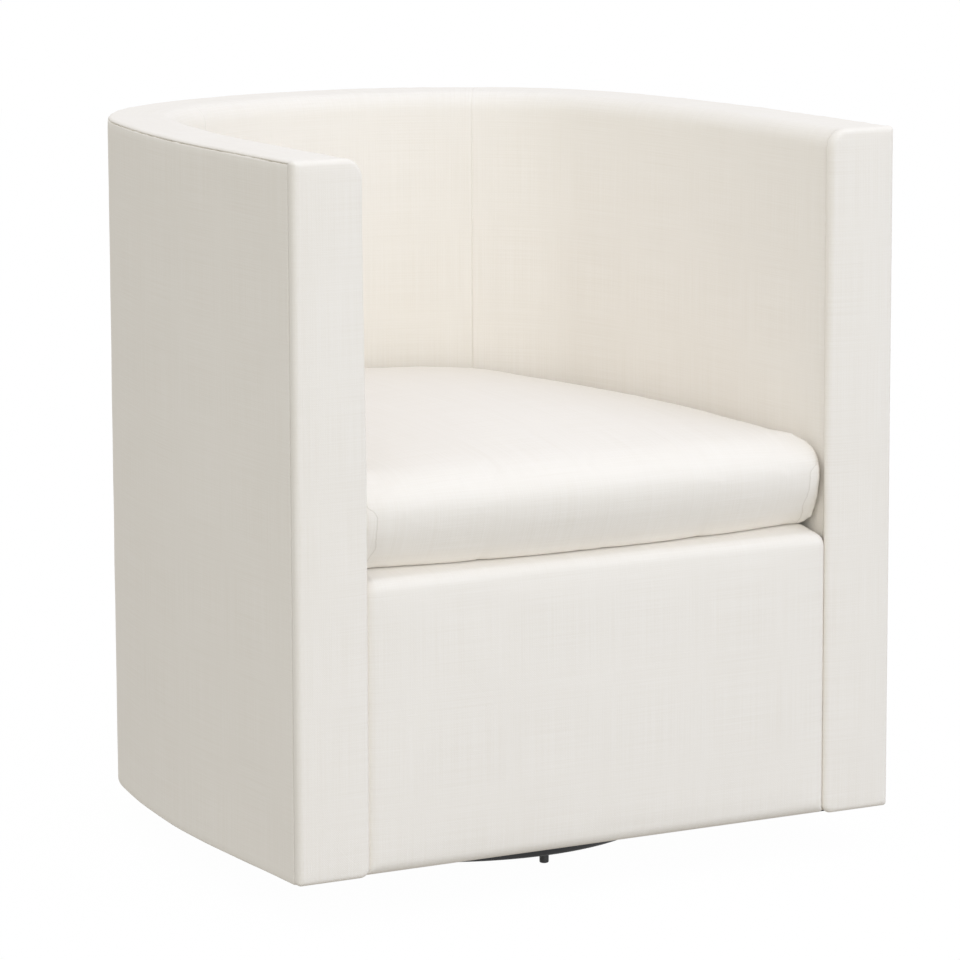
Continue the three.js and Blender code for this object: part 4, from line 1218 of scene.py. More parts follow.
# Rubbed places on raised edges, broken up by a spotty pattern
def buildWearGroup(values):
    group, given = newGroup("ShaderNodeTree", "edgeWear", {"Vector": ("Vector", None), "Amount": ("Float", 0.5)})
    pointed = addNode(group, "ShaderNodeNewGeometry").outputs["Pointiness"]
    edge = mathNode(group, "SUBTRACT", pointed, values["raised"])
    edge = mathNode(group, "MULTIPLY", edge, values["edgeGain"], clamp=True)
    spots = noiseValue(group, given["Vector"], values["spotScale"], 4.0, 0.65)
    rubbed = mathNode(group, "MULTIPLY", edge, mathNode(group, "SUBTRACT", spots, values["spotLimit"]))
    strength = mathNode(group, "MULTIPLY", given["Amount"], values["gain"])
    return endGroup(group, Mask=mathNode(group, "MULTIPLY", rubbed, strength, clamp=True))


# Fine grain of a coat, a casting or a pressed board
def buildGrainGroup():
    group, given = newGroup("ShaderNodeTree", "fineGrain", {"Vector": ("Vector", None), "Scale": ("Float", 900.0)})
    fine = noiseValue(group, given["Vector"], given["Scale"], 2.0, 0.6)
    wide = mathNode(group, "MULTIPLY", noiseValue(group, given["Vector"], 14.0, 4.0, 0.6), 0.6)
    return endGroup(group, Height=fine, Shade=mathNode(group, "MULTIPLY_ADD", fine, 0.4, wide))


grain = {
    "warpScale": (2.5, 16.0, 16.0),
    "warp": 0.05,
    "lean": 0.6,
    "fibreScale": (14.0, 700.0, 700.0),
    "ringShare": 0.45,
}


# Wood with its fibres along the first axis of the vector
def buildWoodGroup(values):
    group, given = newGroup("ShaderNodeTree", "woodGrain", {"Vector": ("Vector", None), "Ring Pitch": ("Float", 0.006)})
    vector = given["Vector"]
    split = splitAxes(group, vector)
    warp = noiseValue(group, stretched(group, vector, values["warpScale"]), 1.0, 3.0)
    across = mathNode(group, "ADD", split[1], mathNode(group, "MULTIPLY", split[2], values["lean"]))
    across = mathNode(group, "MULTIPLY_ADD", warp, values["warp"], across)
    rings = mathNode(group, "MULTIPLY", mathNode(group, "DIVIDE", across, given["Ring Pitch"]), math.pi)
    ring = mathNode(group, "MULTIPLY_ADD", mathNode(group, "SINE", rings), 0.5, 0.5)
    fibre = noiseValue(group, stretched(group, vector, values["fibreScale"]), 1.0, 2.0, 0.6)
    plain = mathNode(group, "MULTIPLY", fibre, 1 - values["ringShare"])
    return endGroup(group, Height=fibre, Shade=mathNode(group, "MULTIPLY_ADD", ring, values["ringShare"], plain))


wearGroup = buildWearGroup(wear)
grainGroup = buildGrainGroup()
woodGroup = buildWoodGroup(grain)

# Each coat: dark, light and rubbed color, then share of wear, scale of grain, roughness, metal and bump
coats = {
    "blackPowderCoat": (
        (0.0035, 0.0035, 0.0038), (0.009, 0.009, 0.010), (0.12, 0.116, 0.113), 0.30, 1500.0, 0.46, 0.0, 0.16),
    "zincSteel": (
        (0.34, 0.36, 0.37), (0.52, 0.53, 0.51), (0.62, 0.61, 0.58), 0.5, 420.0, 0.36, 1.0, 0.05),
    "springSteel": (
        (0.155, 0.150, 0.150), (0.29, 0.275, 0.26), (0.42, 0.40, 0.38), 0.4, 700.0, 0.38, 1.0, 0.05),
    "glidePlastic": (
        (0.010, 0.010, 0.010), (0.020, 0.020, 0.020), (0.075, 0.073, 0.070), 0.6, 2200.0, 0.55, 0.0, 0.10),
    "fibreboard": (
        (0.235, 0.150, 0.085), (0.40, 0.275, 0.165), (0.50, 0.38, 0.25), 0.5, 520.0, 0.83, 0.0, 0.20),
}
coatKeys = ("color", "light", "worn", "wear", "grain", "roughness", "metallic", "bump")
coatLook = {"roughnessRange": 0.16, "distance": 0.0002}


def coatMaterial(name, shared):
    values = {**shared, **dict(zip(coatKeys, coats[name]))}
    material, tree = nodeTree(name)
    spot = addNode(tree, "ShaderNodeTexCoord").outputs["Object"]
    grained = addNode(tree, "ShaderNodeGroup", {"Vector": spot, "Scale": values["grain"]}, node_tree=grainGroup).outputs
    worn = addNode(tree, "ShaderNodeGroup", {"Vector": spot, "Amount": values["wear"]}, node_tree=wearGroup)
    color = mixColor(tree, grained["Shade"], values["color"], values["light"])
    spread = values["roughnessRange"]
    rough = mathNode(tree, "MULTIPLY_ADD", grained["Shade"], spread, values["roughness"] - spread / 2)
    endSurface(tree, values, grained["Height"], {
        "Base Color": mixColor(tree, worn.outputs["Mask"], color, values["worn"]),
        "Metallic": values["metallic"], "Roughness": rough})
    return material


# Each wood: dark and light color, pitch of its rings, axis of its fibres and, if it is ply, of its layers
hardwood = ((0.33, 0.185, 0.080), (0.60, 0.40, 0.215), 0.0055)
plywood = ((0.47, 0.315, 0.155), (0.71, 0.54, 0.325), 0.013)
woods = {
    "postHardwood": (*hardwood, 2, None),
    "railHardwood": (*hardwood, 0, None),
    "levelPlywood": (*plywood, 0, 2),
    "uprightPlywood": (*plywood, 2, 1),
}
woodLook = {
    "layer": 0.0016,
    "stripe": 0.32,
    "stripeMiddle": 0.45,
    "stripeGrain": 0.2,
    "bump": 0.25,
    "distance": 0.0003,
    "roughness": 0.55,
    "roughnessRange": 0.2,
}


# Solid wood, or plywood whose edges show its layers
def woodMaterial(name, values):
    dark, light, pitch, along, layers = woods[name]
    material, tree = nodeTree(name)
    place = addNode(tree, "ShaderNodeTexCoord").outputs
    parts = splitAxes(tree, place["Object"])
    order = sorted(range(3), key=lambda axis: axis != along)
    turned = addNode(tree, "ShaderNodeCombineXYZ", {index: parts[axis] for index, axis in enumerate(order)})
    fibres = addNode(tree, "ShaderNodeGroup", {"Vector": turned, "Ring Pitch": pitch}, node_tree=woodGroup).outputs
    tone, height = fibres["Shade"], fibres["Height"]
    if layers is not None:
        level = mathNode(tree, "ABSOLUTE", splitAxes(tree, place["Normal"])[layers])
        edge = mathNode(tree, "LESS_THAN", level, 0.5)
        layer = mathNode(tree, "SINE", mathNode(tree, "MULTIPLY", parts[layers], math.pi / values["layer"]))
        side = mathNode(tree, "SIGN", layer)
        striped = mathNode(tree, "MULTIPLY_ADD", side, values["stripe"], values["stripeMiddle"])
        striped = mathNode(tree, "MULTIPLY_ADD", tone, values["stripeGrain"], striped)
        change = mathNode(tree, "MULTIPLY", edge, mathNode(tree, "SUBTRACT", striped, tone))
        tone = mathNode(tree, "ADD", tone, change, clamp=True)
    endSurface(tree, values, height, {
        "Base Color": mixColor(tree, tone, dark, light),
        "Roughness": mathNode(tree, "MULTIPLY_ADD", height, values["roughnessRange"], values["roughness"])})
    return material


burlap = {
    "color": (0.57, 0.43, 0.245), "deep": (0.27, 0.185, 0.085), "pitch": 0.0024, "slubShare": 0.9, "spread": 1.3,
    "middle": 0.62, "bump": 0.8, "distance": 0.0012, "roughness": 0.93, "sheen": 0.05, "specular": 0.2,
}
tape = {
    "color": (0.80, 0.755, 0.665), "deep": (0.66, 0.61, 0.52), "pitch": 0.0006, "slubShare": 0.0, "spread": 0.8,
    "middle": 0.62, "bump": 0.4, "distance": 0.0003, "roughness": 0.93, "sheen": 0.05, "specular": 0.2,
}
felt = {
    "color": (0.028, 0.028, 0.029), "deep": (0.010, 0.010, 0.010), "fibreScale": 1300.0, "cloudScale": 30.0,
    "dotPitch": 0.0017, "dotLimit": 0.72, "dotGain": 4.0, "dotDepth": 0.6, "cloudShade": 0.5, "fibreShade": 0.6,
    "bump": 0.6, "distance": 0.0004, "roughness": 0.93, "sheen": 0.04, "specular": 0.2,
}


# Black bonded felt: loose fibres pressed down in a lattice of small dots
def feltMaterial(values):
    material, tree = nodeTree("dustFelt")
    spot = addNode(tree, "ShaderNodeTexCoord").outputs["Object"]
    parts = splitAxes(tree, spot)
    waves = [mathNode(tree, "SINE", mathNode(tree, "MULTIPLY", parts[axis], math.pi / values["dotPitch"]))
             for axis in (0, 1)]
    lattice = mathNode(tree, "ABSOLUTE", mathNode(tree, "MULTIPLY", *waves))
    pressed = mathNode(tree, "SUBTRACT", lattice, values["dotLimit"])
    pressed = mathNode(tree, "MULTIPLY", pressed, values["dotGain"], clamp=True)
    fibre = noiseValue(tree, spot, values["fibreScale"], 4.0, 0.7)
    height = mathNode(tree, "SUBTRACT", fibre, mathNode(tree, "MULTIPLY", pressed, values["dotDepth"]))
    shade = mathNode(tree, "MULTIPLY", height, values["fibreShade"])
    cloud = noiseValue(tree, spot, values["cloudScale"], 4.0)
    tone = mathNode(tree, "MULTIPLY_ADD", cloud, values["cloudShade"], shade, clamp=True)
    endCloth(tree, values, mixColor(tree, tone, values["deep"], values["color"]), height)
    return material


blackPowderCoat, zincSteel, springSteel, glidePlastic, fibreboard = (coatMaterial(name, coatLook) for name in coats)
postHardwood, railHardwood, levelPlywood, uprightPlywood = (woodMaterial(name, woodLook) for name in woods)
burlapCloth = clothMaterial("burlapCloth", burlap)
zipTapeCloth = clothMaterial("zipTapeCloth", tape)
dustFelt = feltMaterial(felt)
print("stage: frame finishes built")

# Trees of Geometry Nodes for what repeats or follows a path


def partTree(name, inputs):
    shared = {"Geometry": ("Geometry", None), "material": ("Material", None)}
    return newGroup("GeometryNodeTree", name, {**shared, **inputs})


def endTree(tree, given, made):
    real = addNode(tree, "GeometryNodeRealizeInstances", {0: made})
    finish = addNode(tree, "GeometryNodeSetMaterial", {"Geometry": real, "Material": given["material"]})
    return endGroup(tree, "Geometry", Geometry=finish)


# The part on each point, turned about the upright axis to look ahead
def placeParts(tree, points, part, ahead):
    facing = addNode(tree, "FunctionNodeAlignRotationToVector", {"Vector": ahead}, axis="X", pivot_axis="Z")
    return addNode(tree, "GeometryNodeInstanceOnPoints", {"Points": points, "Instance": part, "Rotation": facing})


# Copies of a part at even turns around the upright axis, each facing outward
def buildAroundTree():
    tree, given = partTree("aroundAxis", {
        "count": ("Int", 4), "radius": ("Float", 0.1), "firstTurn": ("Float", 0.0)})
    circle = addNode(tree, "GeometryNodeMeshCircle", {"Vertices": given["count"], "Radius": given["radius"]})
    angle = addNode(tree, "ShaderNodeCombineXYZ", {2: given["firstTurn"]})
    turned = addNode(tree, "GeometryNodeTransform", {"Geometry": circle, "Rotation": angle})
    outward = addNode(tree, "GeometryNodeInputPosition")
    return endTree(tree, given, placeParts(tree, turned, given["Geometry"], outward))


# Copies of a part at even steps along each path, turned with the path
def buildAlongTree():
    tree, given = partTree("alongPath", {"part": ("Object", None), "count": ("Int", 10)})
    curve = addNode(tree, "GeometryNodeMeshToCurve", {0: given["Geometry"]})
    steps = addNode(tree, "GeometryNodeResampleCurve", {"Curve": curve, "Count": given["count"]})
    part = addNode(tree, "GeometryNodeObjectInfo", {"Object": given["part"]}).outputs["Geometry"]
    return endTree(tree, given, placeParts(tree, steps, part, addNode(tree, "GeometryNodeInputTangent")))


# A round wire along each path
def buildWireTree():
    tree, given = partTree("roundWire", {"wireRadius": ("Float", 0.0018), "sides": ("Int", 10)})
    curve = addNode(tree, "GeometryNodeMeshToCurve", {0: given["Geometry"]})
    circle = {"Resolution": given["sides"], "Radius": given["wireRadius"]}
    ring = addNode(tree, "GeometryNodeCurvePrimitiveCircle", circle)
    tube = addNode(tree, "GeometryNodeCurveToMesh", {"Curve": curve, "Profile Curve": ring, "Fill Caps": True})
    return endTree(tree, given, tube)


aroundTree = buildAroundTree()
alongTree = buildAlongTree()
wireTree = buildWireTree()


def growPart(piece, tree, **values):
    modifier = piece.modifiers.new("grown", "NODES")
    modifier.node_group = tree
    for item in tree.interface.items_tree:
        if item.in_out == "INPUT" and item.name in values:
            modifier[item.identifier] = values[item.name]
    bakeModifiers(piece)


def pathPiece(name, paths):
    points, edges = [], []
    for path in paths:
        first = len(points)
        points += path
        edges += [(index, index + 1) for index in range(first, len(points) - 1)]
    mesh = bpy.data.meshes.new(name)
    mesh.from_pydata(points, edges, [])
    return linkObject(name, mesh)


def growAlong(name, paths, part, count, material):
    piece = pathPiece(name, paths)
    growPart(piece, alongTree, part=part, count=count, material=material)
    return piece


def dropPiece(piece):
    mesh = piece.data
    bpy.data.objects.remove(piece)
    bpy.data.meshes.remove(mesh)


def crisp(piece, angle=35):
    for polygon in piece.data.polygons:
        polygon.use_smooth = True
    piece.data.set_sharp_from_angle(angle=math.radians(angle))
    return piece


# Ends the work on a mesh: its object, crisp above an angle
def workPiece(name, work, angle=35):
    mesh = bpy.data.meshes.new(name)
    work.to_mesh(mesh)
    work.free()
    return crisp(linkObject(name, mesh), angle)


# A small ball, squeezed by a share along each axis
def beadPart(name, radius, squeeze, subdivisions):
    work = bmesh.new()
    bmesh.ops.create_icosphere(work, subdivisions=subdivisions, radius=radius)
    bmesh.ops.scale(work, vec=squeeze, verts=work.verts)
    return workPiece(name, work, 80)


# A turned part from its outline of (radius, height), which starts and ends on the axis or closes on itself
def turnedPart(name, profile, segments):
    turns = [2 * math.pi * step / segments for step in range(segments)]
    points = [Vector((radius * math.cos(turn), radius * math.sin(turn), z)) for radius, z in profile for turn in turns]
    return crisp(makeMesh(name, points, ringFaces(len(profile), segments), weld=0.00002))


def rounded(corners, radius, steps=3):
    outline = []
    places = [Vector(corner) for corner in corners]
    for index, corner in enumerate(places):
        before, after = places[index - 1] - corner, places[(index + 1) % len(places)] - corner
        size = min(radius, before.length / 2.01, after.length / 2.01)
        start, end = corner + before.normalized() * size, corner + after.normalized() * size
        for share in (step / steps for step in range(steps + 1)):
            outline.append(tuple(start * (1 - share) ** 2 + corner * 2 * share * (1 - share) + end * share ** 2))
    return outline


# A slab cut from an outline, given in two axes and pulled along the third
def cutSlab(name, outline, low, high, axis, bevel=0.0):
    work = bmesh.new()
    corners = []
    for place in outline:
        place = list(place)
        place.insert(axis, low)
        corners.append(work.verts.new(place))
    pulled = bmesh.ops.extrude_face_region(work, geom=[work.faces.new(corners)])["geom"]
    move = [0.0, 0.0, 0.0]
    move[axis] = high - low
    bmesh.ops.translate(work, verts=[item for item in pulled if isinstance(item, bmesh.types.BMVert)], vec=move)
    bmesh.ops.recalc_face_normals(work, faces=work.faces)
    if bevel:
        rims = [edge for edge in work.edges if edge.is_manifold and edge.calc_face_angle(0) > 1.2]
        bmesh.ops.bevel(work, geom=rims, offset=bevel, segments=2, affect="EDGES", profile=0.7)
    return workPiece(name, work)


# Swivel base

swivelBase = {
    "ringInner": 0.212,
    "ringOuter": 0.237,
    "ringLow": 0.010,
    "ringHigh": 0.028,
    "ringEdge": 0.003,
    "ringInnerEdge": 0.0015,
    "ringSegments": 192,
    "glideCount": 4,
    "glideRadius": 0.2245,
    "glideSegments": 32,
    "glideOutline": (
        (0, 0), (0.0036, 0), (0.0044, 0.0003), (0.0049, 0.0010), (0.005, 0.0018), (0.005, 0.0090), (0.0047, 0.0097),
        (0.0030, 0.0097), (0.0030, 0.0134), (0.0027, 0.0137), (0, 0.0137)),
    "pinLow": 0.0250,
    "pinHigh": 0.0498,
    "pinSegments": 48,
    # The pin's lower head from its low end, and its upper head down from its high end
    "pinLowHead": (
        (0, 0.0006), (0.004, 0.0001), (0.0108, 0), (0.0124, 0.0006), (0.013, 0.0015), (0.0126, 0.003), (0.008, 0.003)),
    "pinHighHead": (
        (0.008, 0.003), (0.0126, 0.003), (0.013, 0.0016), (0.0122, 0.0006), (0.0104, 0), (0.0052, 0),
        (0.0044, 0.0012), (0, 0.0015)),
    "crossReach": 0.2107,
    "crossHalf": 0.015,
    "crossLow": 0.022,
    "crossHigh": 0.028,
    "plateHalf": 0.090,
    "weldRadius": 0.0021,
    "weldSqueeze": (0.8, 1.0, 0.55),
    "weldCount": 15,
    "weldShort": 0.001,
    "ringWeldOut": 0.0006,
    "ringWeldRise": 0.0002,
    "plateWeldOut": 0.0004,
    "plateWeldRise": 0.0006,
}


def arcCorner(x, z, radius, fromAngle, steps=5):
    turns = [math.radians(fromAngle + 90 * step / steps) for step in range(steps + 1)]
    return [(x + radius * math.cos(turn), z + radius * math.sin(turn)) for turn in turns]


def addBase(values):
    inner, outer, low, high = (values[key] for key in ("ringInner", "ringOuter", "ringLow", "ringHigh"))
    edge, fine = values["ringEdge"], values["ringInnerEdge"]
    profile = arcCorner(outer - edge, low + edge, edge, -90) + arcCorner(outer - edge, high - edge, edge, 0)
    profile += arcCorner(inner + fine, high - fine, fine, 90, 3) + arcCorner(inner + fine, low + fine, fine, 180, 3)
    ring = turnedPart("turntableRing", profile + profile[:1], values["ringSegments"])
    finishPiece(ring, "base", "black_steel", ["base_ring"], blackPowderCoat)

    glides = turnedPart("floorGlides", values["glideOutline"], values["glideSegments"])
    growPart(glides, aroundTree, count=values["glideCount"], radius=values["glideRadius"],
             firstTurn=math.pi / 2, material=glidePlastic)
    finishPiece(glides, "base", "black_plastic", ["glide_1", "glide_2", "glide_3", "glide_4"])

    outline = [(radius, values["pinLow"] + rise) for radius, rise in values["pinLowHead"]]
    outline += [(radius, values["pinHigh"] - fall) for radius, fall in values["pinHighHead"]]
    pin = turnedPart("kingPin", outline, values["pinSegments"])
    finishPiece(pin, "base", "zinc_steel", ["center_pin"], zincSteel)

    drop = beadPart("weldDrop", values["weldRadius"], values["weldSqueeze"], 2)
    half = values["crossHalf"] - values["weldShort"]
    places = ((values["crossReach"] + values["ringWeldOut"], values["crossLow"] + values["ringWeldRise"]),
              (values["plateHalf"] + values["plateWeldOut"], values["crossHigh"] + values["plateWeldRise"]))
    turns = [Matrix.Rotation(quarter * math.pi / 2, 3, "Z") for quarter in range(4)]
    paths = [[turn @ Vector((along, side, z)) for side in (-half, half)] for turn in turns for along, z in places]
    welds = growAlong("weldBeads", paths, drop, values["weldCount"], blackPowderCoat)
    dropPiece(drop)
    finishPiece(welds, "base", "black_steel")
    print("stage: base made")


race = {
    "circle": 0.068,
    "level": 0.0374,
    "ballCount": 12,
    "ballRadius": 0.004,
    "ballSegments": 24,
    "ballRings": 14,
    # The retainer's upper half from its inner edge to its outer one: (out from the circle, up from its level)
    "retainerHalf": ((-0.006, 0.0003), (-0.0055, 0.00075), (0.0055, 0.00075), (0.006, 0.0003)),
    "retainerSegments": 96,
}


def addRace(values):
    circle, level = values["circle"], values["level"]
    work = bmesh.new()
    bmesh.ops.create_uvsphere(
        work, u_segments=values["ballSegments"], v_segments=values["ballRings"], radius=values["ballRadius"])
    bmesh.ops.translate(work, verts=work.verts, vec=(0, 0, level))
    balls = workPiece("ballRace", work, 80)
    growPart(balls, aroundTree, count=values["ballCount"], radius=circle, firstTurn=0.0, material=zincSteel)
    profile = [(circle + out, level - rise) for out, rise in values["retainerHalf"]]
    profile += [(circle + out, level + rise) for out, rise in reversed(values["retainerHalf"])]
    retainer = turnedPart("retainerRing", profile + profile[:1], values["retainerSegments"])
    retainer.data.materials.append(zincSteel)
    joinPieces(balls, retainer)
    finishPiece(balls, "cage", "zinc_steel", ["ball_cage"])


bolts = {
    "place": 0.070,
    "seat": 0.0432,
    "count": 4,
    # Outlines as (radius, height over the seat)
    "head": ((0, -0.0040), (0.0046, -0.0040), (0.0057, -0.0034), (0.0057, -0.0009), (0, -0.0009)),
    "washer": ((0, -0.0009), (0.0058, -0.0009), (0.0060, -0.0007), (0.0060, -0.0002), (0.0057, 0), (0.0030, 0)),
    "tip": ((0.0024, 0.0195), (0.0018, 0.020), (0, 0.020)),
    "threadCount": 18,
    "threadPitch": 0.001,
    "threadCrest": 0.0030,
    "threadRoot": 0.0027,
    "headSides": 6,
    "shankSegments": 20,
}


def addBolts(values):
    seat, pitch = values["seat"], values["threadPitch"]
    threads = []
    for step in range(1, values["threadCount"] + 1):
        threads += [(values["threadCrest"], step * pitch), (values["threadRoot"], (step + 0.5) * pitch)]
    pieces = []
    for name, outline, segments in (
            ("swivelBolts", values["head"], values["headSides"]),
            ("boltShank", (*values["washer"], *threads, *values["tip"]), values["shankSegments"])):
        pieces.append(turnedPart(name, [(radius, seat + rise) for radius, rise in outline], segments))
    joinPieces(*pieces)
    growPart(pieces[0], aroundTree, count=values["count"], radius=values["place"] * math.sqrt(2),
             firstTurn=math.pi / 4, material=zincSteel)
    nodes = ["swivel_bolt_1", "swivel_bolt_2", "swivel_bolt_3", "swivel_bolt_4"]
    finishPiece(pieces[0], "chair", "zinc_steel", nodes)
    print("stage: swivel made")


addBase(swivelBase)
addRace(race)
addBolts(bolts)

# Timber frame: bent boards and rails follow the wall, straight parts keep their solids

timber = {
    "endY": -0.3214,
    "step": 0.008,
    "bevel": 0.0007,
    # Each piece's near and far inset, bottom and top, node, slot and material
    "bent": {
        "outerBoard": (0.0061, 0.0091, 0.0468, 0.7619, "outer_board", "fibreboard", fibreboard),
        "innerBoard": (0.0317, 0.0347, 0.2985, 0.7619, "inner_board", "fibreboard", fibreboard),
        "topRail": (0.0094, 0.0314, 0.7439, 0.7619, "top_rail", "plywood", levelPlywood),
        "seatRail": (0.0317, 0.1017, 0.2802, 0.2982, "seat_rail", "plywood", levelPlywood),
    },
    # Each solid that keeps its shape: its material and the size of its eased edges
    "straight": {
        "arm_front_board_left": (uprightPlywood, 0.0008),
        "arm_front_board_right": (uprightPlywood, 0.0008),
        "arm_post_left": (postHardwood, 0.0015),
        "arm_post_right": (postHardwood, 0.0015),
        "side_post_left": (postHardwood, 0.0015),
        "side_post_right": (postHardwood, 0.0015),
        "back_post_left": (postHardwood, 0.0015),
        "back_post_right": (postHardwood, 0.0015),
        "front_board": (uprightPlywood, 0.0008),
        "bottom_panel": (levelPlywood, 0.0008),
        "spring_rail_front": (railHardwood, 0.0015),
        "spring_rail_back": (railHardwood, 0.0015),
        "base_cross": (blackPowderCoat, 0.0008),
        "lower_swivel_plate": (zincSteel, 0.0003),
        "upper_swivel_plate": (zincSteel, 0.0003),
    },
    "keptFacets": ("lower_swivel_plate", "upper_swivel_plate"),
}


def addBoards(values):
    end, cut = planSide + wall["sideY"] - values["endY"], values["bevel"]
    for name, (near, far, bottom, top, node, slotName, material) in values["bent"].items():
        corners = [(near + cut, bottom), (far - cut, bottom), (far, bottom + cut), (far, top - cut),
                   (far - cut, top), (near + cut, top), (near, top - cut), (near, bottom + cut)]
        section = []
        length = 0.0
        for before, corner in zip(corners[:1] + corners, corners):
            length += math.dist(before, corner)
            section.append((*corner, 0.0, 0.0, length))
        board = crisp(sweptPad(name, spaced(-end, end, values["step"]), section, near))
        finishPiece(board, "chair", slotName, [node], material)


def easeSolids(values):
    for name, (material, ease) in values["straight"].items():
        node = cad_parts[name]
        node.modifiers.new("merged", "WELD").merge_threshold = 0.00001
        if name not in values["keptFacets"]:
            flat = node.modifiers.new("flat", "DECIMATE")
            flat.decimate_type = "DISSOLVE"
            flat.angle_limit = math.radians(0.5)
        eased = node.modifiers.new("eased", "BEVEL")
        eased.width = ease
        eased.segments = 2
        eased.limit_method = "ANGLE"
        eased.angle_limit = math.radians(40)
        eased.use_clamp_overlap = True
        for slot in node.material_slots:
            slot.material = material


addBoards(timber)
easeSolids(timber)
print("stage: timber and plates dressed")

# Seat springs with their clips, the cloths and the padded deck

seatSpring = {
    "count": 5,
    "spacing": 0.078,
    "half": 0.0198,
    "waves": 6,
    "waveSteps": 24,
    "waveBend": 0.8,
    "crown": 0.010,
    "frontY": -0.274,
    "backY": 0.185,
    "low": 0.3206,
    "wireRadius": 0.0018,
    "clipHalf": 0.0035,
    "clipFlatX": 0.011,
    "clipLow": -0.0021,
    "clipHigh": -0.0013,
    "clipArcSteps": 8,
    # The clip's inner and outer bend: half its width, its level and its rise
    "clipInner": (0.0032, -0.0016, 0.0042),
    "clipOuter": (0.0040, -0.0010, 0.0044),
    "clipFootX": 0.0039,
}


def addSprings(values):
    paths = []
    steps = values["waveSteps"] * values["waves"]
    for index in range(values["count"]):
        middle = (index - (values["count"] - 1) / 2) * values["spacing"]
        path = []
        for share in (step / steps for step in range(steps + 1)):
            wave = math.sin(2 * math.pi * values["waves"] * share)
            wave = math.copysign(abs(wave) ** values["waveBend"], wave)
            y = values["frontY"] + (values["backY"] - values["frontY"]) * share
            z = values["low"] + values["crown"] * math.sin(math.pi * share)
            path.append(Vector((middle + values["half"] * wave, y, z)))
        paths.append(path)
    springs = pathPiece("seatSprings", paths)
    growPart(springs, wireTree, wireRadius=values["wireRadius"], sides=10, material=springSteel)
    crisp(springs, 60)
    nodes = [f"seat_spring_{index}" for index in range(1, values["count"] + 1)]
    finishPiece(springs, "chair", "spring_steel", nodes)

    flat, low, high, foot = (values[key] for key in ("clipFlatX", "clipLow", "clipHigh", "clipFootX"))
    arcs = []
    steps = values["clipArcSteps"]
    turns = [math.pi * step / steps for step in range(steps + 1)]
    for radius, z, rise in (values["clipInner"], values["clipOuter"]):
        arcs.append([(radius * math.cos(turn), z + rise * math.sin(turn)) for turn in turns])
    inner, outer = arcs
    outline = [(-flat, low), (-inner[0][0], low), *((-x, z) for x, z in inner), (inner[0][0], low)]
    outline += [(flat, low), (flat, high), (foot, high), *outer, (-foot, high), (-flat, high)]
    clip = cutSlab("clipPart", outline, -values["clipHalf"], values["clipHalf"], 0)
    reach = (values["count"] - 1) / 2 * values["spacing"]
    paths = [[Vector((x, y, values["low"])) for x in (-reach, reach)] for y in (values["frontY"], values["backY"])]
    clips = growAlong("springClips", paths, clip, values["count"], zincSteel)
    dropPiece(clip)
    finishPiece(clips, "chair", "zinc_steel")
    print("stage: springs made")


# Outline of a level sheet inside the wall, from the right front corner round the back to the left one
def levelOutline(inset, frontY, step=0.012):
    end = planSide + wall["sideY"] - frontY
    sides = [wallPoint(stationAt(length), inset, 0) for length in spaced(end, -end, step)]
    across = spaced(0.0, 1.0, step / (sides[0] - sides[-1]).length)[1:-1]
    return sides + [sides[-1].lerp(sides[0], share) for share in across]


# A level form in rings from an outline to its hole or its middle. The rim gives (move inward, z),
# and level(x, y, share) gives the heights of its upper and lower face at a share of the way in.
def levelForm(name, outline, rim, level, rings, hole=None):
    loops = [[Vector((point.x - shift * point.x / point.length, point.y - shift * point.y / point.length, z))
              for point in outline] for shift, z in rim]
    upper, lower = [], []
    for share in spaced(0.0, 1.0, 1.0 / rings)[1:]:
        for made, face, edge in ((upper, 0, loops[-1]), (lower, 1, loops[0])):
            placed = []
            for point in edge:
                flat = Vector((point.x, point.y, 0))
                inner = flat * hole / max(abs(point.x), abs(point.y)) if hole else Vector((0, 0, 0))
                place = flat.lerp(inner, share)
                placed.append(Vector((place.x, place.y, level(place.x, place.y, share)[face])))
            made.append(placed)
    full = lower[::-1] + loops + upper
    points = [point for loop in full for point in loop]
    count = len(outline)
    faces = ringFaces(len(full), count)
    if hole:
        last = len(points) - count
        faces += [(last + index, last + (index + 1) % count, (index + 1) % count, index) for index in range(count)]
    return makeMesh(name, points, faces, [(point.x, point.y) for point in points], weld=0.00002)


# Works out the area inside the outline of a level cloth; the result is not kept
def markSheet(outline):
    turns = zip(outline, outline[1:] + outline[:1])
    area = abs(sum(first.x * second.y - second.x * first.y for first, second in turns)) / 2


seatDeck = {
    "inset": 0.0773,
    "frontY": -0.2687,
    "burlapLow": 0.3327,
    "burlapThick": 0.0012,
    "burlapEdge": 0.0001,
    "burlapRings": 40,
    "dip": 0.0010,
    "dipLimit": 0.0009,
    "dipFrom": 0.25,
    # Ripples: least lift, size and scale
    "burlapRipple": (0.00006, 0.00006, 30),
    "padLow": 0.3342,
    "padHigh": 0.3560,
    "padRings": 60,
    # The pad's rim: (move inward, up from its low side), and (move inward, down from its high side)
    "rimLow": ((0.0030, 0), (0.0008, 0.002), (0.0, 0.006)),
    "rimHigh": ((0.0, 0.0055), (0.0006, 0.0030), (0.0024, 0.0009), (0.0050, 0.0001)),
    "channelPlace": 0.034,
    "channelDepth": 0.0016,
    "channelReach": 0.0035,
    "channelEnd": 0.9,
    "padRipple": (0.0005, 0.0005, 16),
    "rippleFrom": 0.06,
}


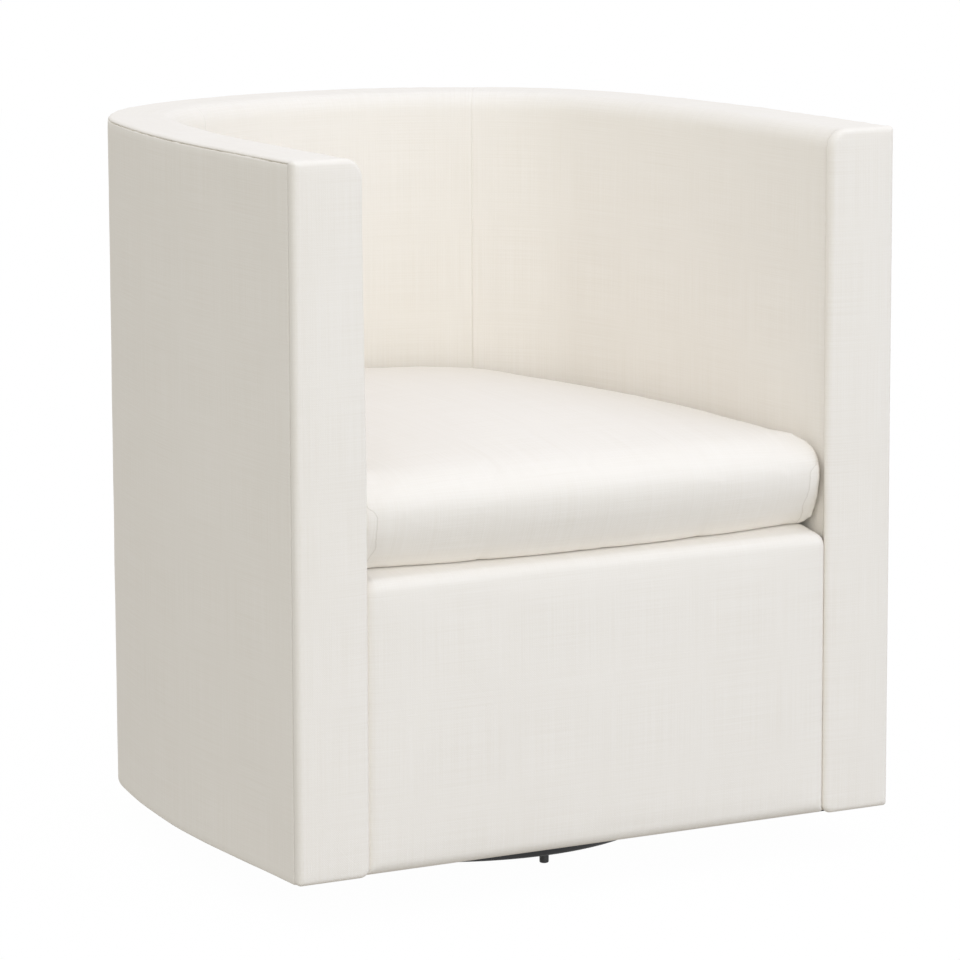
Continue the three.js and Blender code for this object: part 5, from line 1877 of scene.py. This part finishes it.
def addDeck(values):
    outline = levelOutline(values["inset"], values["frontY"])
    low, thick, edge = values["burlapLow"], values["burlapThick"], values["burlapEdge"]

    def sag(x, y, share):
        wave = 0.5 - 0.5 * math.cos(2 * math.pi * x / seatSpring["spacing"])
        dip = values["dip"] * wave * smoothStep(0.0, values["dipFrom"], share)
        least, size, scale = values["burlapRipple"]
        lift = least + ripple(Vector((x, y, 0)), size, scale)
        return low + thick - dip + lift - edge, low - min(dip, values["dipLimit"]) + edge

    rim = [(0.0, low + edge), (0.0, low + thick - edge)]
    burlapSheet = levelForm("springBurlap", outline, rim, sag, values["burlapRings"])
    finishPiece(burlapSheet, "chair", "burlap", ["spring_cloth"], burlapCloth)
    markSheet(outline)

    padLow, padHigh = values["padLow"], values["padHigh"]

    def top(x, y, share):
        near = share < values["channelEnd"]
        distance = share * math.hypot(x, y) / max(1 - share, 0.02) if near else 1.0
        away = (distance - values["channelPlace"]) / values["channelReach"]
        least, size, scale = values["padRipple"]
        wave = least + ripple(Vector((x, y, 4)), size, scale)
        channel = math.exp(-away ** 2) * values["channelDepth"]
        return padHigh - channel - wave * smoothStep(0.0, values["rippleFrom"], share), padLow

    rim = [(inward, padLow + rise) for inward, rise in values["rimLow"]]
    rim += [(inward, padHigh - fall) for inward, fall in values["rimHigh"]]
    deck = levelForm("seatDeckPad", outline, rim, top, values["padRings"])
    finishPiece(deck, "chair", "ivory_fabric", ["deck_cloth", "deck_pad"], ivoryLinen)
    print("stage: deck made")


addSprings(seatSpring)
addDeck(seatDeck)

underside = {
    "inset": 0.0203,
    "frontY": -0.3367,
    "hole": 0.093,
    "low": 0.0457,
    "high": 0.0465,
    "rings": 26,
    "sag": 0.0022,
    "ripple": 0.0009,
    "rippleScale": 9,
    "stapleInset": 0.030,
    "stapleFrontY": -0.327,
    "stapleStep": 0.01,
    "stapleCount": 64,
    "holeStapleCount": 10,
    "holeStapleOut": 0.010,
    "holeStapleRise": -0.0002,
    "holeStapleEnd": 0.08,
    "frontStapleCount": 20,
    "frontStapleEnd": 0.03,
    # A staple from its right leg to its middle: (x, z)
    "stapleOuter": ((0.0047, -0.0006), (0.005, -0.0003), (0.005, 0.0011)),
    "stapleInner": ((0.0044, 0.0011), (0.0044, 0.0)),
    "stapleHalf": 0.0005,
}


def addUnderside(values):
    outline = levelOutline(values["inset"], values["frontY"])
    low, high = values["low"], values["high"]

    def hang(x, y, share):
        slack = math.sin(math.pi * share)
        scale = values["rippleScale"]
        wave = noise.noise(Vector((x * scale, y * scale, 1.7)))
        drop = max(0.0, values["sag"] * slack + values["ripple"] * slack * wave)
        return high - drop, low - drop

    rim = [(0.0, low), (0.0, high)]
    cloth = levelForm("dustCover", outline, rim, hang, values["rings"], hole=values["hole"])
    finishPiece(cloth, "chair", "dust_cloth", ["dust_cloth"], dustFelt)
    markSheet(outline)

    right = [*values["stapleOuter"], *values["stapleInner"]]
    wire = [(-x, z) for x, z in reversed(values["stapleOuter"])] + right
    wire += [(-x, z) for x, z in reversed(values["stapleInner"])]
    staple = cutSlab("staplePart", wire, -values["stapleHalf"], values["stapleHalf"], 1)
    end = planSide + wall["sideY"] - values["stapleFrontY"]
    inset = values["stapleInset"]
    around = [wallPoint(stationAt(length), inset, low) for length in spaced(-end, end, values["stapleStep"])]
    reach, z = values["hole"] + values["holeStapleOut"], low + values["holeStapleRise"]
    corners = [Vector((x * reach, y * reach, z)) for x, y in ((-1, -1), (1, -1), (1, 1), (-1, 1))]

    def shortened(first, second, share):
        return [first.lerp(second, share), second.lerp(first, share)]

    sides = [shortened(*ends, values["holeStapleEnd"]) for ends in zip(corners, corners[1:] + corners[:1])]
    front = shortened(around[0], around[-1], values["frontStapleEnd"])
    rows = [growAlong(name, paths, staple, count, zincSteel) for name, paths, count in (
        ("dustCoverStaples", [around], values["stapleCount"]),
        ("holeStaples", sides, values["holeStapleCount"]),
        ("frontStaples", [front], values["frontStapleCount"]))]
    joinPieces(*rows)
    dropPiece(staple)
    finishPiece(rows[0], "chair", "zinc_steel")
    print("stage: underside made")


addUnderside(underside)

# Zip along the back of the cushion

zipper = {
    "inset": 0.0845,
    "thick": 0.0012,
    "low": 0.3703,
    "high": 0.3813,
    "turn": math.radians(26.0),
    "step": 0.004,
    # The tape's face: an edge, a flat, a slope and the raised channel under the teeth
    "faceInset": 0.0003,
    "edgeInset": 0.0005,
    "edgeWidth": 0.0004,
    "channelInset": 0.0007,
    "channelHalf": 0.0022,
    "slopeHalf": 0.0032,
    "toothSize": (0.00052, 0.00042, 0.0019),
    "toothInset": 0.00045,
    "toothPitch": 0.0015,
    "toothEnd": 0.004,
}


def addZip(values):
    radius = planArcs[0][2]
    end = radius * values["turn"]
    low, high = values["low"], values["high"]
    middle = (low + high) / 2
    near, far = values["inset"], values["inset"] + values["thick"]
    face, edge, raised = (near + values[key] for key in ("faceInset", "edgeInset", "channelInset"))
    width, slope, half = values["edgeWidth"], values["slopeHalf"], values["channelHalf"]
    rows = [(edge, low), (face, low + width), (face, middle - slope), (raised, middle - half),
            (raised, middle + half), (face, middle + slope), (face, high - width), (edge, high),
            (far, high), (far, low)]
    section = [(inset, z, 0.0, 0.0, z - low) for inset, z in rows]
    tapePiece = sweptPad("zipTape", spaced(-end, end, values["step"]), section, near)
    finishPiece(tapePiece, "cushion", "zip_tape", ["zip_tape"], zipTapeCloth)
    length = 2 * values["turn"] * (radius - near)

    tooth = beadPart("toothPart", 1.0, values["toothSize"], 1)
    end -= values["toothEnd"]
    inset = near + values["toothInset"]
    path = [wallPoint(stationAt(place), inset, middle) for place in spaced(-end, end, values["step"])]
    teeth = growAlong("zipTeeth", [path], tooth, round(length / values["toothPitch"]), glidePlastic)
    dropPiece(tooth)
    finishPiece(teeth, "cushion", "zip_tape", material=zipTapeCloth)


# The slider's parts lie about its middle: the loop as (x, y), the others as (x, z) up from the tape's low edge
slider = {
    "turn": math.radians(24.71),
    "reach": 0.31703,
    "halfBody": ((-0.0045, 0.0056), (-0.0045, 0.0034), (-0.0020, 0.0022), (0.0025, 0.0019), (0.0045, 0.0032)),
    "bodyHeight": 0.0113,
    "bodyRound": 0.0008,
    "bodyDepth": (0.0, 0.0012),
    "bodyBevel": 0.0002,
    "loop": (
        (-0.0025, 0.0010), (-0.0022, 0.0017), (-0.0008, 0.0019), (0.0008, 0.0019), (0.0022, 0.0017), (0.0025, 0.0010)),
    "loopLevel": 0.0058,
    "loopRadius": 0.0003,
    "loopSides": 8,
    "pull": (
        (-0.0012, 0.0066), (0.0012, 0.0066), (0.0025, 0.0030), (0.0025, -0.0075), (-0.0025, -0.0075),
        (-0.0025, 0.0030)),
    "pullDepth": (0.0013, 0.0019),
    "ridge": ((-0.0015, -0.0060), (0.0015, -0.0060), (0.0015, 0.0005), (-0.0015, 0.0005)),
    "ridgeDepth": (0.0018, 0.0022),
    "pullRound": 0.0012,
    "pullBevel": 0.00015,
}


def addSlider(values):
    half = list(values["halfBody"])
    outline = half + [(x, values["bodyHeight"] - z) for x, z in reversed(half[1:])]
    body = cutSlab("zipSlider", rounded(outline, values["bodyRound"]), *values["bodyDepth"], 1, values["bodyBevel"])
    loop = pathPiece("sliderLoop", [[Vector((x, y, values["loopLevel"])) for x, y in values["loop"]]])
    growPart(loop, wireTree, wireRadius=values["loopRadius"], sides=values["loopSides"], material=zincSteel)
    pull, ridge = (
        cutSlab(name, rounded(values[name], values["pullRound"]), *values[f"{name}Depth"], 1, values["pullBevel"])
        for name in ("pull", "ridge"))
    joinPieces(body, loop, pull, ridge)
    turn = values["turn"]
    place = Vector((0, planArcs[0][1], zipper["low"])) + values["reach"] * Vector((math.sin(turn), math.cos(turn), 0))
    body.data.transform(Matrix.Translation(place) @ Matrix.Rotation(-turn, 4, "Z"))
    finishPiece(body, "slider", "zinc_steel", ["zip_slider"], zincSteel)
    print("stage: zip made")


addZip(zipper)
addSlider(slider)
